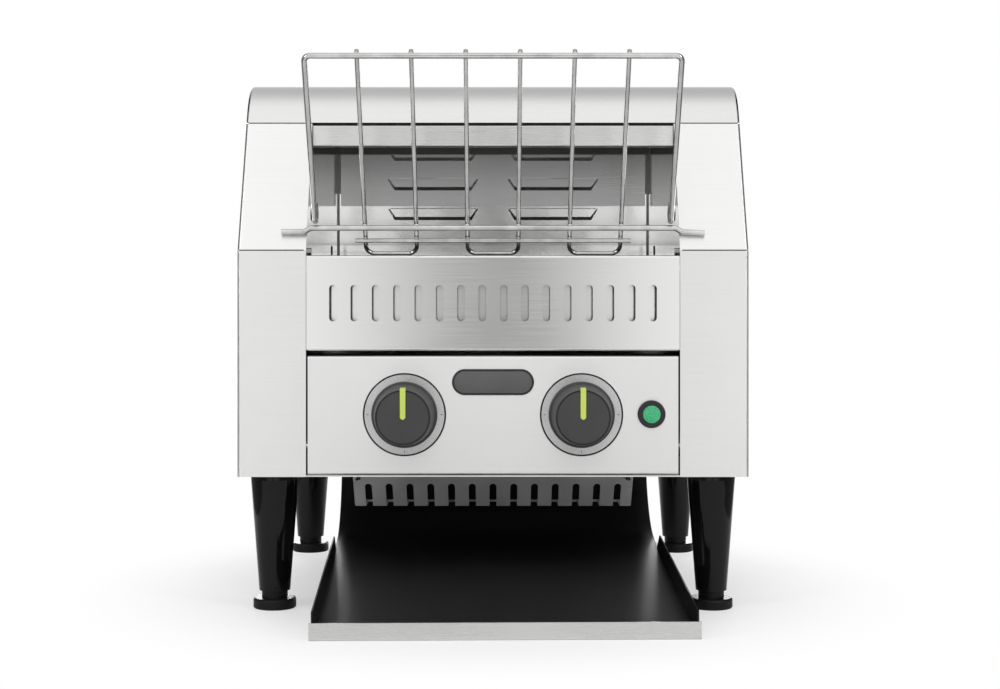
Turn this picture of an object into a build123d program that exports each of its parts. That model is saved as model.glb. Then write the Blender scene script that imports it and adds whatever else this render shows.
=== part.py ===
from build123d import *

import os
from math import cos, pi, radians, sin, tan

# Conveyor toaster on four legs, with a wire loading rack in front of its mouth and a toast slide
# under it. Millimetres. X points right as seen from the front, Y points back and Z up. The origin
# is on the floor, under the middle. A depth counts back from the plane of the front panels.

# Whole body
BODY_HALF_WIDTH = 184.0
BACK_Y = 209.0
BODY_DEPTH = 324.0
FRONT_Y = BACK_Y - BODY_DEPTH
BODY_BOTTOM = 98.5
BODY_TOP = 387.0
SLOPE_START = 261.5
SLOPE_END = 356.0
SLOPE_RUN = 47.0
SLOPE_RATE = SLOPE_RUN / (SLOPE_END - SLOPE_START)
SHEET = 1.0
BEND = 1.8
GAP = 0.3
FIT = 0.1
SCREW_HEAD = 1.5
BACK_FACE = BODY_DEPTH - SCREW_HEAD
CHAMBER_HALF_WIDTH = 134.5
COLUMN_WIDTH = BODY_HALF_WIDTH - CHAMBER_HALF_WIDTH
EDGE_ROUND = 2.5
SEAM = 0.8
SEAM_START = 136.0
BRIM = 1.2
COVER_SEAM = 0.8
COVER_FRONT_ROUND = 40.0
COVER_BACK_ROUND = 6.0
LINTEL_BOTTOM = 339.0
LINTEL_FACE = 49.5
LINTEL_BACK = 59.0

# Base pan
PAN_RIM = 10.0
FLOOR_OPENING = (128.5, 261.5)
VENT_PITCH = 9.0
FLOOR_VENT = (26.0, 3.6)
FLOOR_VENT_ROWS = 6
FLOOR_VENT_PLACES = [(-158.0, 150.0), (158.0, 90.0)]
SIDE_VENT = (34.0, 3.6)
SIDE_VENTS = 9
SIDE_VENT_PLACE = (225.0, 150.0)
BACK_VENT = (46.0, 4.0)
BACK_VENT_PITCH = (60.0, 12.0)
BACK_VENT_COUNT = (4, 6)
BACK_VENT_HEIGHT = 300.0

# Inner walls
CHEEK_SPAN = (78.3, 307.3)
WALL_FLANGE = (11.0, 240.0)
WALL_FLANGE_MIDDLE = 150.0
HOOK_SLOT = (22.0, 9.0)
HOOK_SLOT_PLACE = (44.0, 288.0)
WALL_SLOT = (19.0, 8.0)
WALL_SLOT_PLACE = (209.0, 262.5)
WIRE_HOLE = 10.0
WIRE_HOLE_PLACES = [(40.0, 120.0), (40.0, 160.0), (260.0, 130.0)]
SCREW_PLACE = (21.0, 260.4)
SCREW_THREAD = 3.2
CHAMBER_SCREW_HEAD = (5.8, 2.0)
BACK_SCREW_HEAD = 6.8
BACK_SCREW_PLACES = [(x, height) for x in (-176.0, 176.0) for height in (112.0, 228.0, 346.0)]
BACK_SCREW_PLACES += [(-60.0, 346.0), (60.0, 346.0)]

# Conveyor
BELT_PITCH = 15.5
BELT_TEETH = 8
BELT_RADIUS = BELT_PITCH / (2 * sin(pi / BELT_TEETH))
BELT_STEPS = 11
BELT_HALF_WIDTH = 116.0
BELT_ROD = 2.4
BELT_BAND = (3.0, 1.0)
BELT_BAND_PLACES = [-114.0, -76.0, -38.0, 0.0, 38.0, 76.0, 114.0]
SPROCKET_PLACES = [-95.0, -19.0, 19.0, 95.0]
SPROCKET_WIDTH = 4.0
SPROCKET_HOLES = 4
SPROCKET_HOLE = 5.6
SPROCKET_HOLE_RING = 12.5
TOOTH_SEAT = 6.4
TOOTH_CLEARANCE = 0.35
SPROCKET_RADIUS = BELT_RADIUS - BELT_ROD / 2 - TOOTH_CLEARANCE
AXLE_DEPTH = 36.0
AXLE_HEIGHT = 230.0
DRIVE_DEPTH = AXLE_DEPTH + BELT_STEPS * BELT_PITCH
SHAFT = 8.0
SHAFT_END = 141.0
SHAFT_CHAMFER = 0.6
RUNNING = 0.05
HUB = (16.0, 12.0)
BUSH = 12.0
BUSH_COLLAR = 18.0
BUSH_SPAN = (132.5, 139.0)

# Chain from the gear motor to the drive shaft
CHAIN_PITCH = 6.35
CHAIN_TEETH = 12
CHAIN_STEPS = 12
CHAIN_RADIUS = CHAIN_PITCH / (2 * sin(pi / CHAIN_TEETH))
CHAIN_ROLLER = 3.3
CHAIN_MIDDLE = 143.0
CHAIN_PLATE = 0.8
CHAIN_WIDTH = 6.0
CHAIN_PLATE_HEIGHT = 4.4
WHEEL_WIDTH = 2.6
WHEEL_HUB = 14.0
WHEEL_RADIUS = CHAIN_RADIUS - CHAIN_ROLLER / 2 - TOOTH_CLEARANCE
WHEEL_SEAT = 4.0
WHEEL_HUB_END = 148.5
MOTOR_HEIGHT = AXLE_HEIGHT - CHAIN_STEPS * CHAIN_PITCH
MOTOR_SHAFT_SPAN = (139.5, 158.0)
BRACKET_PLATE = 148.5
BRACKET_SHEET = 1.2
BRACKET_HALF_LENGTHS = (37.0, 50.0)
BRACKET_HEIGHT = 66.0
BRACKET_DROP = 36.0
GEARBOX = 60.0
GEARBOX_LENGTH = 14.0
GEARBOX_CORNER = 6.0
GEARBOX_PILOT = 17.0
PILOT_HOLE = 20.0
MOTOR_CAN = 56.0
MOTOR_END = 181.0

# Heaters
TUBE = 10.0
TUBE_HALF_LENGTH = 128.0
CAP = 12.0
CAP_END = 142.0
HEATER_TUBES = [(depth, height) for height in (356.0, 235.5) for depth in (85.0, 121.0, 157.0)]
REFLECTOR_FRONT = (61.0, 342.0)
REFLECTOR_CORNER = (11.0, 8.0)
REFLECTOR_BACK = (258.0, 345.5)
REFLECTOR_TOP = 369.0
LOWER_REFLECTOR = (62.0, 181.0)
LOWER_REFLECTOR_HEIGHTS = (222.0, 229.0)

# Back of the chamber
REAR_PLATE_DEPTH = 266.0
REAR_PLATE_HALF_WIDTH = 131.6
REAR_PLATE_BOTTOM = 301.5
REAR_PLATE_TOP = 353.0
LOUVRE_PLACES = [-52.0, 52.0]
LOUVRE_REACH = 4.0
LOUVRE_RIM = [(-39.5, 5.0), (-33.5, -5.0), (33.5, -5.0), (39.5, 5.0)]
LOUVRE_FACE = [(-37.6, 5.0), (-32.6, -1.8), (32.6, -1.8), (37.6, 5.0)]
LOUVRE_INNER_RIM = [(-38.6, 6.0), (-32.6, -3.8), (32.6, -3.8), (38.6, 6.0)]
LOUVRE_INNER_FACE = [(-36.6, 6.0), (-31.6, -0.8), (31.6, -0.8), (36.6, 6.0)]
LOUVRE_PITCH = 25.6
LOUVRE_LOW = 294.0
DEFLECTOR_TOP = (273.0, 312.0)
DEFLECTOR_BELLY = (274.2, 262.0)
DEFLECTOR_WAIST = (268.0, 170.0)
DEFLECTOR_FOOT = (253.5, 96.5)
DEFLECTOR_BEND = 120.0
CHEEK_TOP = 376.0

# Front panels
PANEL_HALF_WIDTH = 133.2
PANEL_BOTTOM = 99.9
PANEL_TOP = 185.4
GRILLE_BOTTOM = 189.0
GRILLE_TOP = 257.8
SLOTS = 16
SLOT_PITCH = 15.35
SLOT_SIZE = (26.2, 5.4)
SLOT_HEIGHT = 223.4
GRILLE_FOOT = 8.0
GRILLE_RETURN = 12.5
GRILLE_HOOK = (15.0, 250.5)
PANEL_RETURN = 9.0
SHIELD_DEPTH = 10.0
SHIELD_POINTS = [(SHIELD_DEPTH, 247.0), (SHIELD_DEPTH, 194.0), (122.0, 180.0), (127.0, 112.0)]
SHIELD_BEND = 4.0

# Knobs, lamp and badge
KNOB_PLACE = 63.6
KNOB_HEIGHT = 143.4
DIAL = 60.0
DIAL_THICKNESS = 1.2
KNOB_BASE = 47.4
KNOB_SKIRT = 3.0
KNOB_STEP = 1.6
KNOB_FACE = 39.6
KNOB_LENGTH = 27.5
KNOB_ROUND = 1.4
POINTER = (4.2, 23.0, 1.0)
POINTER_MARGIN = 0.7
SPINDLE = 6.0
SPINDLE_IN_KNOB = 16.0
SPINDLE_END = 18.0
SPINDLE_HOLE = 9.0
SWITCH = (42.0, 3.0, 34.0)
SWITCH_TAB = (6.3, 0.8, 9.0)
SWITCH_TAB_PITCH = (12.0, 24.0)
SWITCH_TAB_COUNT = (3, 2)
REGULATOR = 25.0
BOARD = (70.0, 56.0, 1.6)
BOARD_BACK = 22.0
BOARD_SHIFT = 8.0
CAPACITOR = (20.0, 16.0, 14.0)
CAPACITOR_PLACES = [(-26.0, -12.0), (-26.0, 12.0)]
LAMP_PLACE = 113.9
LAMP_HEIGHT = 143.7
BEZEL = 20.0
BEZEL_RIM = 2.4
BEZEL_BODY = 15.6
BEZEL_BACK = 32.0
BEZEL_TAB = (0.8, 6.0, 8.0)
BEZEL_TAB_PITCH = 7.0
LENS = 12.5
LENS_FRONT = -3.6
LENS_BACK = 14.0
LENS_CHAMFER = 1.2
BADGE = (59.0, 18.7, 1.2)
BADGE_HEIGHT = 166.7

# Guard over the slide
GUARD_HALF_WIDTH = 112.0
GUARD_TEETH = 13
GUARD_PITCH = 16.7
GUARD_SLOT = 5.6
GUARD_LOW = 55.6
GUARD_SLOT_TOP = 75.1
GUARD_SLOT_LENGTH = 30.0
GUARD_SLOT_DEPTHS = (140.0, 198.0)
GUARD_FLANGE = 117.0
GUARD_TOP = 130.5
GUARD_BEND = 171.0
GUARD_BACK = 205.0
GUARD_EYE = (7.0, 2.6)
GUARD_EYE_PLACES = [(-99.0, 83.0), (99.0, 83.0)]
SHARP_BEND = 1.2

# Toast slide, which lies turned a little about the vertical
SLIDE_TURN = 1.23
SLIDE_PIVOT = 298.0
SLIDE_HALF_WIDTH = 130.0
LIP_HALF_WIDTH = 131.5
LIP_HEIGHT = 12.0
SLIDE_CURVE = 78.0
SLIDE_LIFT = 4.93
SLIDE_WALL = 80.0
SLIDE_CURVE_START = (180.0, 24.4)
SLIDE_TOP = 93.3
SLIDE_FLANGE = 7.5
SLIDE_FLANGE_BACK = 266.0
SLIDE_SIDE = [(155.0, 22.9), (137.5, 35.3)]
SLIDE_SIDE_FRONT = 19.4
LIP_FOOT = 24.0
LIP_REACH = BACK_Y + FRONT_Y + SLIDE_PIVOT - LIP_HALF_WIDTH * sin(radians(SLIDE_TURN))
LIP_DEPTH = SLIDE_PIVOT - LIP_REACH / cos(radians(SLIDE_TURN))
HANGER_LEDGE = (133.0, 140.0)
HANGER_FLANGE_END = 152.0
HANGER_BACK = 268.0
HANGER_LENGTH = 18.0

# Loading rack
RACK_WIRE = 4.0
RACK_ROD = 3.2
RACK_RISE = (-0.5762, 0.8173)
RACK_BAR = (4.4, 277.5)
RACK_LENGTH = 140.7
RACK_HALF_WIDTH = 128.0
RACK_PAIRS = [-74.0, 0.0, 74.0]
RACK_PAIR_WIDTH = 37.0
EAR_END = 152.5
EAR_DEPTH = 3.4
EAR_HEIGHT = 274.8
EAR_DROOP = 1.0
EAR_START = 136.0
BAR_END = 131.5
SECOND_BAR = (-99.7, 99.7)
SECOND_BAR_ALONG = -11.2
HOOK_RISE = (4.0, 17.0)
HOOK_REACH = 9.0
ROD_LOW = -25.0
ROD_OVERHANG = 2.4
WIRE_TOUCH = 0.02
FRAME_BEND = 4.2
ROD_BEND = 7.0
EAR_BEND = 3.0

# Legs and feet
LEG_PLACE = 160.0
LEG_DEPTHS = {"front": 27.0, "rear": 288.0}
LEG_TOP = 35.0
LEG_END = 22.6
LEG_END_HEIGHT = 13.0
FOOT = 31.2
FOOT_HEIGHT = 7.5
FOOT_ROUND = 1.5
FOOT_CHAMFER = 0.8
FOOT_NECK = 18.8
FOOT_STEM = 10.0
FOOT_STEM_TOP = 45.0
FOOT_BORE_SPARE = 8.0
LEG_CAP = 4.0
NECK_BORE = 7.0
BOLT = 8.0
BOLT_END = 76.0
BOLT_BORE_END = 74.0
BOLT_HEAD = (7.5, 5.3)

# Mains entry
TERMINAL = (22.0, 52.0, 18.0)
TERMINAL_DEPTH = 190.0
TERMINAL_GRID = (11.0, 10.0)
TERMINAL_COUNT = (2, 5)
TERMINAL_WELL = (5.2, 6.0)
GLAND_DEPTH = 235.0
GLAND_THREAD = 13.0
GLAND_CABLE = 8.0
GLAND_RINGS = [(84.0, 94.0, 19.0), (94.0, BODY_BOTTOM, 22.0), (BODY_BOTTOM + SHEET, 104.0, 20.0)]

# Cooling fan
FAN_SIZE = 80.0
FAN_CORNER = 5.0
FAN_DEPTH = 25.0
FAN_PLACE = (-60.0, 150.0)
FAN_BORE = 76.0
FAN_BLADES = 7
FAN_HOLE = 4.4
FAN_HOLE_PITCH = 71.5
FAN_SPOKES = 4
FAN_SPOKE = (4.0, 3.0)
FAN_HUB = 32.0
FAN_BLADE = (22.0, 1.6)
FAN_BLADE_START = 15.0
FAN_TIP_GAP = 2.0
FAN_TILT = 35.0
FAN_GUARD_HOLE = 6.4
FAN_GUARD_RINGS = [(12.0, 6), (22.0, 12), (32.0, 18)]


def at(depth):
    """Gives the Y of a depth behind the front panels."""
    return FRONT_Y + depth


def side_points(points):
    """Turns (depth, height) pairs into points of a sketch on the YZ plane."""
    return [(at(depth), height) for depth, height in points]


def front_plane(depth):
    """A plane that faces forward at this depth, with X to the right and Z up."""
    return Plane(origin=(0, at(depth), 0), x_dir=(1, 0, 0), z_dir=(0, -1, 0))


def save(part, label):
    """Names a finished piece and writes it."""
    part.label = label
    export_step(part, f"parts/{label}.step")


def folded_sheet(points, half_width, side=Side.LEFT, bend=BEND):
    """Adds a sheet folded along (depth, height) points and carried to both sides of the middle."""
    with BuildSketch(Plane.YZ) as section:
        with BuildLine():
            FilletPolyline(*side_points(points), radius=bend)
            offset(amount=SHEET, side=side)
        make_face()
    extrude(section.sketch, amount=half_width, both=True)


def side_prism(points, start, length, mode=Mode.ADD):
    """Adds or cuts a prism with a (depth, height) outline, from X = start on."""
    with BuildSketch(Plane.YZ.offset(start)) as outline:
        with BuildLine():
            Polyline(*side_points(points), close=True)
        make_face()
    extrude(outline.sketch, amount=length, mode=mode)


def cross_rod(place, diameter, start, end, mode=Mode.ADD):
    """Adds or cuts a round bar along X at a (depth, height) place."""
    with BuildSketch(Plane.YZ.offset(start)) as section:
        with Locations(*side_points([place])):
            Circle(diameter / 2)
    extrude(section.sketch, amount=end - start, mode=mode)


def front_disc(place, diameter, near, far, mode=Mode.ADD):
    """Adds or cuts a round bar along Y at an (X, Z) place, from depth near to depth far."""
    with BuildSketch(front_plane(far)) as section:
        with Locations(place):
            Circle(diameter / 2)
    extrude(section.sketch, amount=far - near, mode=mode)


def bent_wire(points, diameter, bend):
    """Adds a round wire through (X, depth, height) points, with rounded bends."""
    route_points = [(x, at(depth), height) for x, depth, height in points]
    with BuildLine() as route:
        FilletPolyline(*route_points, radius=bend)
    with BuildSketch(Plane(origin=route.line @ 0, z_dir=route.line % 0)) as section:
        Circle(diameter / 2)
    sweep(section.sketch, path=route.line)


def loop_points(pitch, teeth, steps, radius):
    """Places of the links of a loop over two equal wheels: (along, across) pairs from the first wheel."""
    turn = 2 * pi / teeth
    run = [(step * pitch, side * radius) for step in range(steps + 1) for side in (1, -1)]
    first = [(-radius * sin(turn * n), radius * cos(turn * n)) for n in range(1, teeth // 2)]
    last = [(steps * pitch - along, across) for along, across in first]
    return run + first + last


os.makedirs("parts", exist_ok=True)

# ---------------------------------------------------------------- housing

pan_width = 2 * (BODY_HALF_WIDTH - SHEET - FIT)
pan_length = BACK_FACE - 2 * SHEET - 4 * FIT
opening_start, opening_end = FLOOR_OPENING
with BuildPart() as base_pan:
    with BuildSketch(Plane.XY.offset(BODY_BOTTOM)):
        with Locations((0, at(BACK_FACE / 2))):
            RectangleRounded(pan_width, pan_length, EDGE_ROUND)
        with Locations((0, at((opening_start + opening_end) / 2))):
            Rectangle(
                2 * CHAMBER_HALF_WIDTH - SHEET, opening_end - opening_start, mode=Mode.SUBTRACT
            )
        with Locations((-LEG_PLACE, at(GLAND_DEPTH))):
            Circle(GLAND_THREAD / 2, mode=Mode.SUBTRACT)
        for leg_depth in LEG_DEPTHS.values():
            with Locations((-LEG_PLACE, at(leg_depth)), (LEG_PLACE, at(leg_depth))):
                Circle(BOLT / 2 + 2 * FIT, mode=Mode.SUBTRACT)
        for vent_x, vent_depth in FLOOR_VENT_PLACES:
            with Locations((vent_x, at(vent_depth))):
                with GridLocations(0, VENT_PITCH, 1, FLOOR_VENT_ROWS):
                    SlotOverall(*FLOOR_VENT, mode=Mode.SUBTRACT)
    extrude(amount=SHEET)
    with BuildSketch(Plane.XY.offset(BODY_BOTTOM + SHEET)):
        with Locations((0, at(BACK_FACE / 2))):
            RectangleRounded(pan_width, pan_length, EDGE_ROUND)
            RectangleRounded(
                pan_width - 2 * SHEET,
                pan_length - 2 * SHEET,
                EDGE_ROUND - SHEET,
                mode=Mode.SUBTRACT,
            )
            Rectangle(
                2 * CHAMBER_HALF_WIDTH + 4 * SHEET, pan_length + SHEET, mode=Mode.SUBTRACT
            )
    extrude(amount=PAN_RIM)
save(base_pan.part, "base_pan")

with BuildPart() as right_side_cover:
    side_prism(
        [
            (0, BODY_BOTTOM),
            (BACK_FACE - SHEET, BODY_BOTTOM),
            (BACK_FACE - SHEET, SLOPE_END),
            (SLOPE_RUN, SLOPE_END),
            (0, SLOPE_START),
        ],
        CHAMBER_HALF_WIDTH,
        COLUMN_WIDTH,
    )
    outer = edges().filter_by_position(Axis.X, BODY_HALF_WIDTH - FIT, BODY_HALF_WIDTH + FIT)
    fillet(outer.filter_by(GeomType.LINE).sort_by(Axis.Y)[0:2], EDGE_ROUND)
    open_faces = [
        faces().sort_by(Axis.X)[0],
        faces().sort_by(Axis.Y)[-1],
        faces().sort_by(Axis.Z)[0],
        faces().sort_by(Axis.Z)[-1],
    ]
    offset(amount=-SHEET, openings=open_faces)
    side_prism(
        [
            (-SHEET, SLOPE_START - SEAM / 2),
            (3 * SHEET, SLOPE_START - SEAM / 2),
            (3 * SHEET, SLOPE_START + SEAM / 2),
            (-SHEET, SLOPE_START + SEAM / 2),
        ],
        SEAM_START,
        COLUMN_WIDTH,
        mode=Mode.SUBTRACT,
    )
    with BuildSketch(Plane.YZ.offset(BODY_HALF_WIDTH)):
        with Locations(*side_points([SIDE_VENT_PLACE])):
            with GridLocations(VENT_PITCH, 0, SIDE_VENTS, 1):
                SlotOverall(*SIDE_VENT, rotation=90)
    extrude(amount=-2 * SHEET, mode=Mode.SUBTRACT)
save(right_side_cover.part, "right_side_cover")

with BuildPart() as left_side_cover:
    mirror(right_side_cover.part, about=Plane.YZ)
save(left_side_cover.part, "left_side_cover")

wall_front = SHEET + FIT
wall_top = SLOPE_END - BRIM
wall_top_depth = SLOPE_RUN + SHEET + GAP
wall_back = BACK_FACE - SHEET - 2 * FIT
cheek_front, cheek_back = CHEEK_SPAN
with BuildPart() as right_inner_wall:
    side_prism(
        [
            (wall_front, BODY_BOTTOM + SHEET),
            (wall_back, BODY_BOTTOM + SHEET),
            (wall_back, wall_top),
            (cheek_back, wall_top),
            (cheek_back, CHEEK_TOP),
            (cheek_front, CHEEK_TOP),
            (cheek_front, wall_top),
            (wall_top_depth, wall_top),
            (wall_front, SLOPE_START - GAP),
        ],
        CHAMBER_HALF_WIDTH,
        SHEET,
    )
    with BuildSketch(Plane.XY.offset(BODY_BOTTOM + SHEET)):
        with Locations((CHAMBER_HALF_WIDTH + SHEET + WALL_FLANGE[0] / 2, at(WALL_FLANGE_MIDDLE))):
            Rectangle(*WALL_FLANGE)
    extrude(amount=SHEET)
    with BuildSketch(Plane.YZ.offset(CHAMBER_HALF_WIDTH)):
        with Locations(*side_points([HOOK_SLOT_PLACE])):
            SlotOverall(*HOOK_SLOT)
        with Locations(*side_points([WALL_SLOT_PLACE])):
            SlotOverall(*WALL_SLOT)
        with Locations(*side_points([(AXLE_DEPTH, AXLE_HEIGHT), (DRIVE_DEPTH, AXLE_HEIGHT)])):
            Circle(BUSH / 2)
        with Locations(*side_points(HEATER_TUBES)):
            Circle(CAP / 2 + GAP)
        with Locations(*side_points(WIRE_HOLE_PLACES)):
            Circle(WIRE_HOLE / 2)
        with Locations(*side_points([SCREW_PLACE])):
            Circle(SCREW_THREAD / 2)
    extrude(amount=SHEET, mode=Mode.SUBTRACT)
save(right_inner_wall.part, "right_inner_wall")

with BuildPart() as left_inner_wall:
    mirror(right_inner_wall.part, about=Plane.YZ)
save(left_inner_wall.part, "left_inner_wall")

cover_low = SLOPE_END + COVER_SEAM
cover_front = SLOPE_RUN + COVER_SEAM * SLOPE_RATE
cover_corner = SLOPE_RUN + (BODY_TOP - SLOPE_END) * SLOPE_RATE
with BuildPart() as top_cover:
    with BuildSketch(Plane.YZ):
        with BuildLine():
            crown = FilletPolyline(
                *side_points(
                    [
                        (cover_front, cover_low),
                        (cover_corner, BODY_TOP),
                        (BACK_FACE, BODY_TOP),
                        (BACK_FACE, cover_low),
                    ]
                ),
                radius=[COVER_FRONT_ROUND, COVER_BACK_ROUND],
            )
            Line(crown @ 1, crown @ 0)
        make_face()
    extrude(amount=BODY_HALF_WIDTH, both=True)
    side_faces = faces().filter_by(Axis.X)
    rim = [
        edge
        for face in side_faces
        for edge in face.edges()
        if edge.center().Z > cover_low + SHEET
    ]
    fillet(rim, EDGE_ROUND)
    offset(amount=-SHEET, openings=faces().sort_by(Axis.Z)[0])
save(top_cover.part, "top_cover")

with BuildPart() as back_cover:
    with BuildSketch(front_plane(BACK_FACE)):
        with Locations((0, (BODY_BOTTOM + SLOPE_END) / 2)):
            RectangleRounded(2 * BODY_HALF_WIDTH, SLOPE_END - BODY_BOTTOM, EDGE_ROUND)
        with Locations((0, BACK_VENT_HEIGHT)):
            with GridLocations(*BACK_VENT_PITCH, *BACK_VENT_COUNT):
                SlotOverall(*BACK_VENT, mode=Mode.SUBTRACT)
        with Locations(FAN_PLACE):
            for ring, count in FAN_GUARD_RINGS:
                with PolarLocations(ring, count):
                    Circle(FAN_GUARD_HOLE / 2, mode=Mode.SUBTRACT)
    extrude(amount=SHEET)
save(back_cover.part, "back_cover")

lintel_top = SLOPE_END - 4 * FIT
with BuildPart() as mouth_lintel:
    folded_sheet(
        [
            (LINTEL_BACK, LINTEL_BOTTOM),
            (LINTEL_FACE, LINTEL_BOTTOM),
            (LINTEL_FACE, lintel_top),
            (LINTEL_BACK, lintel_top),
        ],
        CHAMBER_HALF_WIDTH - GAP,
        side=Side.RIGHT,
    )
save(mouth_lintel.part, "mouth_lintel")


def louvre_outline(points, depth, place):
    """Gives the outline of a louvre at a depth, from points about its (X, Z) place."""
    x, height = place
    with BuildSketch(front_plane(depth)) as outline:
        with BuildLine():
            Polyline(*[(x + across, height + up) for across, up in points], close=True)
        make_face()
    return outline.sketch.face()


def louvre(place, depth, lean=0.0):
    """Presses a hood out of the sheet, open along its top; lean is how far the sheet leans in there."""
    rim = louvre_outline(LOUVRE_RIM, depth + lean + SHEET / 2, place)
    face = louvre_outline(LOUVRE_FACE, depth - LOUVRE_REACH, place)
    loft([rim, face], ruled=True)
    inner_rim = louvre_outline(LOUVRE_INNER_RIM, depth + lean + 2 * SHEET, place)
    inner_face = louvre_outline(LOUVRE_INNER_FACE, depth - LOUVRE_REACH + SHEET, place)
    loft([inner_rim, inner_face], ruled=True, mode=Mode.SUBTRACT)


with BuildPart() as louvred_rear_plate:
    with BuildSketch(front_plane(REAR_PLATE_DEPTH + SHEET)):
        with Locations((0, (REAR_PLATE_TOP + REAR_PLATE_BOTTOM) / 2)):
            Rectangle(2 * REAR_PLATE_HALF_WIDTH, REAR_PLATE_TOP - REAR_PLATE_BOTTOM)
    extrude(amount=SHEET)
    for place in LOUVRE_PLACES:
        for row in (1, 2):
            louvre((place, LOUVRE_LOW + row * LOUVRE_PITCH), REAR_PLATE_DEPTH)
save(louvred_rear_plate.part, "louvred_rear_plate")

deflector_rate = (DEFLECTOR_BELLY[0] - DEFLECTOR_TOP[0]) / (DEFLECTOR_TOP[1] - DEFLECTOR_BELLY[1])
louvre_depth = DEFLECTOR_TOP[0] + (DEFLECTOR_TOP[1] - LOUVRE_LOW) * deflector_rate
louvre_lean = deflector_rate * LOUVRE_RIM[0][1]
with BuildPart() as rear_deflector:
    folded_sheet(
        [DEFLECTOR_TOP, DEFLECTOR_BELLY, DEFLECTOR_WAIST, DEFLECTOR_FOOT],
        CHAMBER_HALF_WIDTH - 4 * GAP,
        bend=DEFLECTOR_BEND,
    )
    for place in LOUVRE_PLACES:
        louvre((place, LOUVRE_LOW), louvre_depth, lean=louvre_lean)
save(rear_deflector.part, "rear_deflector")

# ---------------------------------------------------------------- front panels

with BuildPart() as slotted_front_panel:
    folded_sheet(
        [
            (GRILLE_FOOT, GRILLE_BOTTOM),
            (0, GRILLE_BOTTOM),
            (0, GRILLE_TOP),
            (GRILLE_RETURN, GRILLE_TOP),
            GRILLE_HOOK,
        ],
        CHAMBER_HALF_WIDTH - GAP,
        side=Side.RIGHT,
    )
    with BuildSketch(front_plane(0)):
        with Locations((0, SLOT_HEIGHT)):
            with GridLocations(SLOT_PITCH, 0, SLOTS, 1):
                SlotOverall(*SLOT_SIZE, rotation=90)
    extrude(amount=-2 * SHEET, mode=Mode.SUBTRACT)
save(slotted_front_panel.part, "slotted_front_panel")

with BuildPart() as front_heat_shield:
    folded_sheet(SHIELD_POINTS, CHAMBER_HALF_WIDTH - GAP, bend=SHIELD_BEND)
save(front_heat_shield.part, "front_heat_shield")

with BuildPart() as control_panel:
    folded_sheet(
        [
            (PANEL_RETURN, PANEL_BOTTOM),
            (0, PANEL_BOTTOM),
            (0, PANEL_TOP),
            (PANEL_RETURN, PANEL_TOP),
        ],
        PANEL_HALF_WIDTH,
        side=Side.RIGHT,
    )
    for place in (-KNOB_PLACE, KNOB_PLACE):
        front_disc((place, KNOB_HEIGHT), SPINDLE_HOLE, -SHEET, 2 * SHEET, mode=Mode.SUBTRACT)
    front_disc(
        (LAMP_PLACE, LAMP_HEIGHT), BEZEL_BODY + 4 * FIT, -SHEET, 2 * SHEET, mode=Mode.SUBTRACT
    )
save(control_panel.part, "control_panel")

with BuildPart() as badge_plate:
    with BuildSketch(front_plane(0)):
        with Locations((0, BADGE_HEIGHT)):
            SlotOverall(BADGE[0], BADGE[1])
    extrude(amount=BADGE[2])
    fillet(faces().sort_by(Axis.Y)[0].edges(), SHEET / 2)
save(badge_plate.part, "badge_plate")

with BuildPart() as dial_plates:
    for place in (-KNOB_PLACE, KNOB_PLACE):
        front_disc((place, KNOB_HEIGHT), DIAL, -DIAL_THICKNESS, 0)
        front_disc(
            (place, KNOB_HEIGHT), SPINDLE_HOLE, -2 * DIAL_THICKNESS, SHEET, mode=Mode.SUBTRACT
        )
save(dial_plates.part, "dial_plates")

with BuildPart() as lamp_bezel:
    front_disc((LAMP_PLACE, LAMP_HEIGHT), BEZEL, -BEZEL_RIM, 0)
    fillet(edges().filter_by(GeomType.CIRCLE).sort_by(Axis.Y)[0], SHEET)
    front_disc((LAMP_PLACE, LAMP_HEIGHT), BEZEL_BODY, 0, BEZEL_BACK)
    front_disc((LAMP_PLACE, LAMP_HEIGHT), LENS, -2 * BEZEL_RIM, LENS_BACK, mode=Mode.SUBTRACT)
    tab_width, tab_height, tab_length = BEZEL_TAB
    with BuildSketch(front_plane(BEZEL_BACK + tab_length)):
        with Locations((LAMP_PLACE, LAMP_HEIGHT)):
            with GridLocations(BEZEL_TAB_PITCH, 0, 2, 1):
                Rectangle(tab_width, tab_height)
    extrude(amount=tab_length)
save(lamp_bezel.part, "lamp_bezel")

with BuildPart() as lamp_lens:
    front_disc((LAMP_PLACE, LAMP_HEIGHT), LENS, LENS_FRONT, LENS_BACK)
    chamfer(faces().sort_by(Axis.Y)[0].edges(), LENS_CHAMFER)
save(lamp_lens.part, "lamp_lens")

# ---------------------------------------------------------------- guard over the slide

slot_front, slot_back = GUARD_SLOT_DEPTHS
with BuildPart() as lower_guard:
    folded_sheet(
        [
            (GUARD_FLANGE, BODY_BOTTOM),
            (GUARD_TOP, BODY_BOTTOM),
            (GUARD_BEND, GUARD_LOW),
            (GUARD_BACK, GUARD_LOW),
        ],
        GUARD_HALF_WIDTH,
        side=Side.RIGHT,
        bend=SHARP_BEND,
    )
    with BuildSketch(front_plane(slot_back)):
        with Locations((0, GUARD_SLOT_TOP - GUARD_SLOT_LENGTH / 2)):
            with GridLocations(GUARD_PITCH, 0, GUARD_TEETH, 1):
                SlotOverall(GUARD_SLOT_LENGTH, GUARD_SLOT, rotation=90)
    extrude(amount=slot_back - slot_front, mode=Mode.SUBTRACT)
    with BuildSketch(front_plane(GUARD_BEND)):
        with Locations(*GUARD_EYE_PLACES):
            SlotOverall(*GUARD_EYE)
    extrude(amount=GUARD_BEND - GUARD_TOP, mode=Mode.SUBTRACT)
save(lower_guard.part, "lower_guard")

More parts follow.
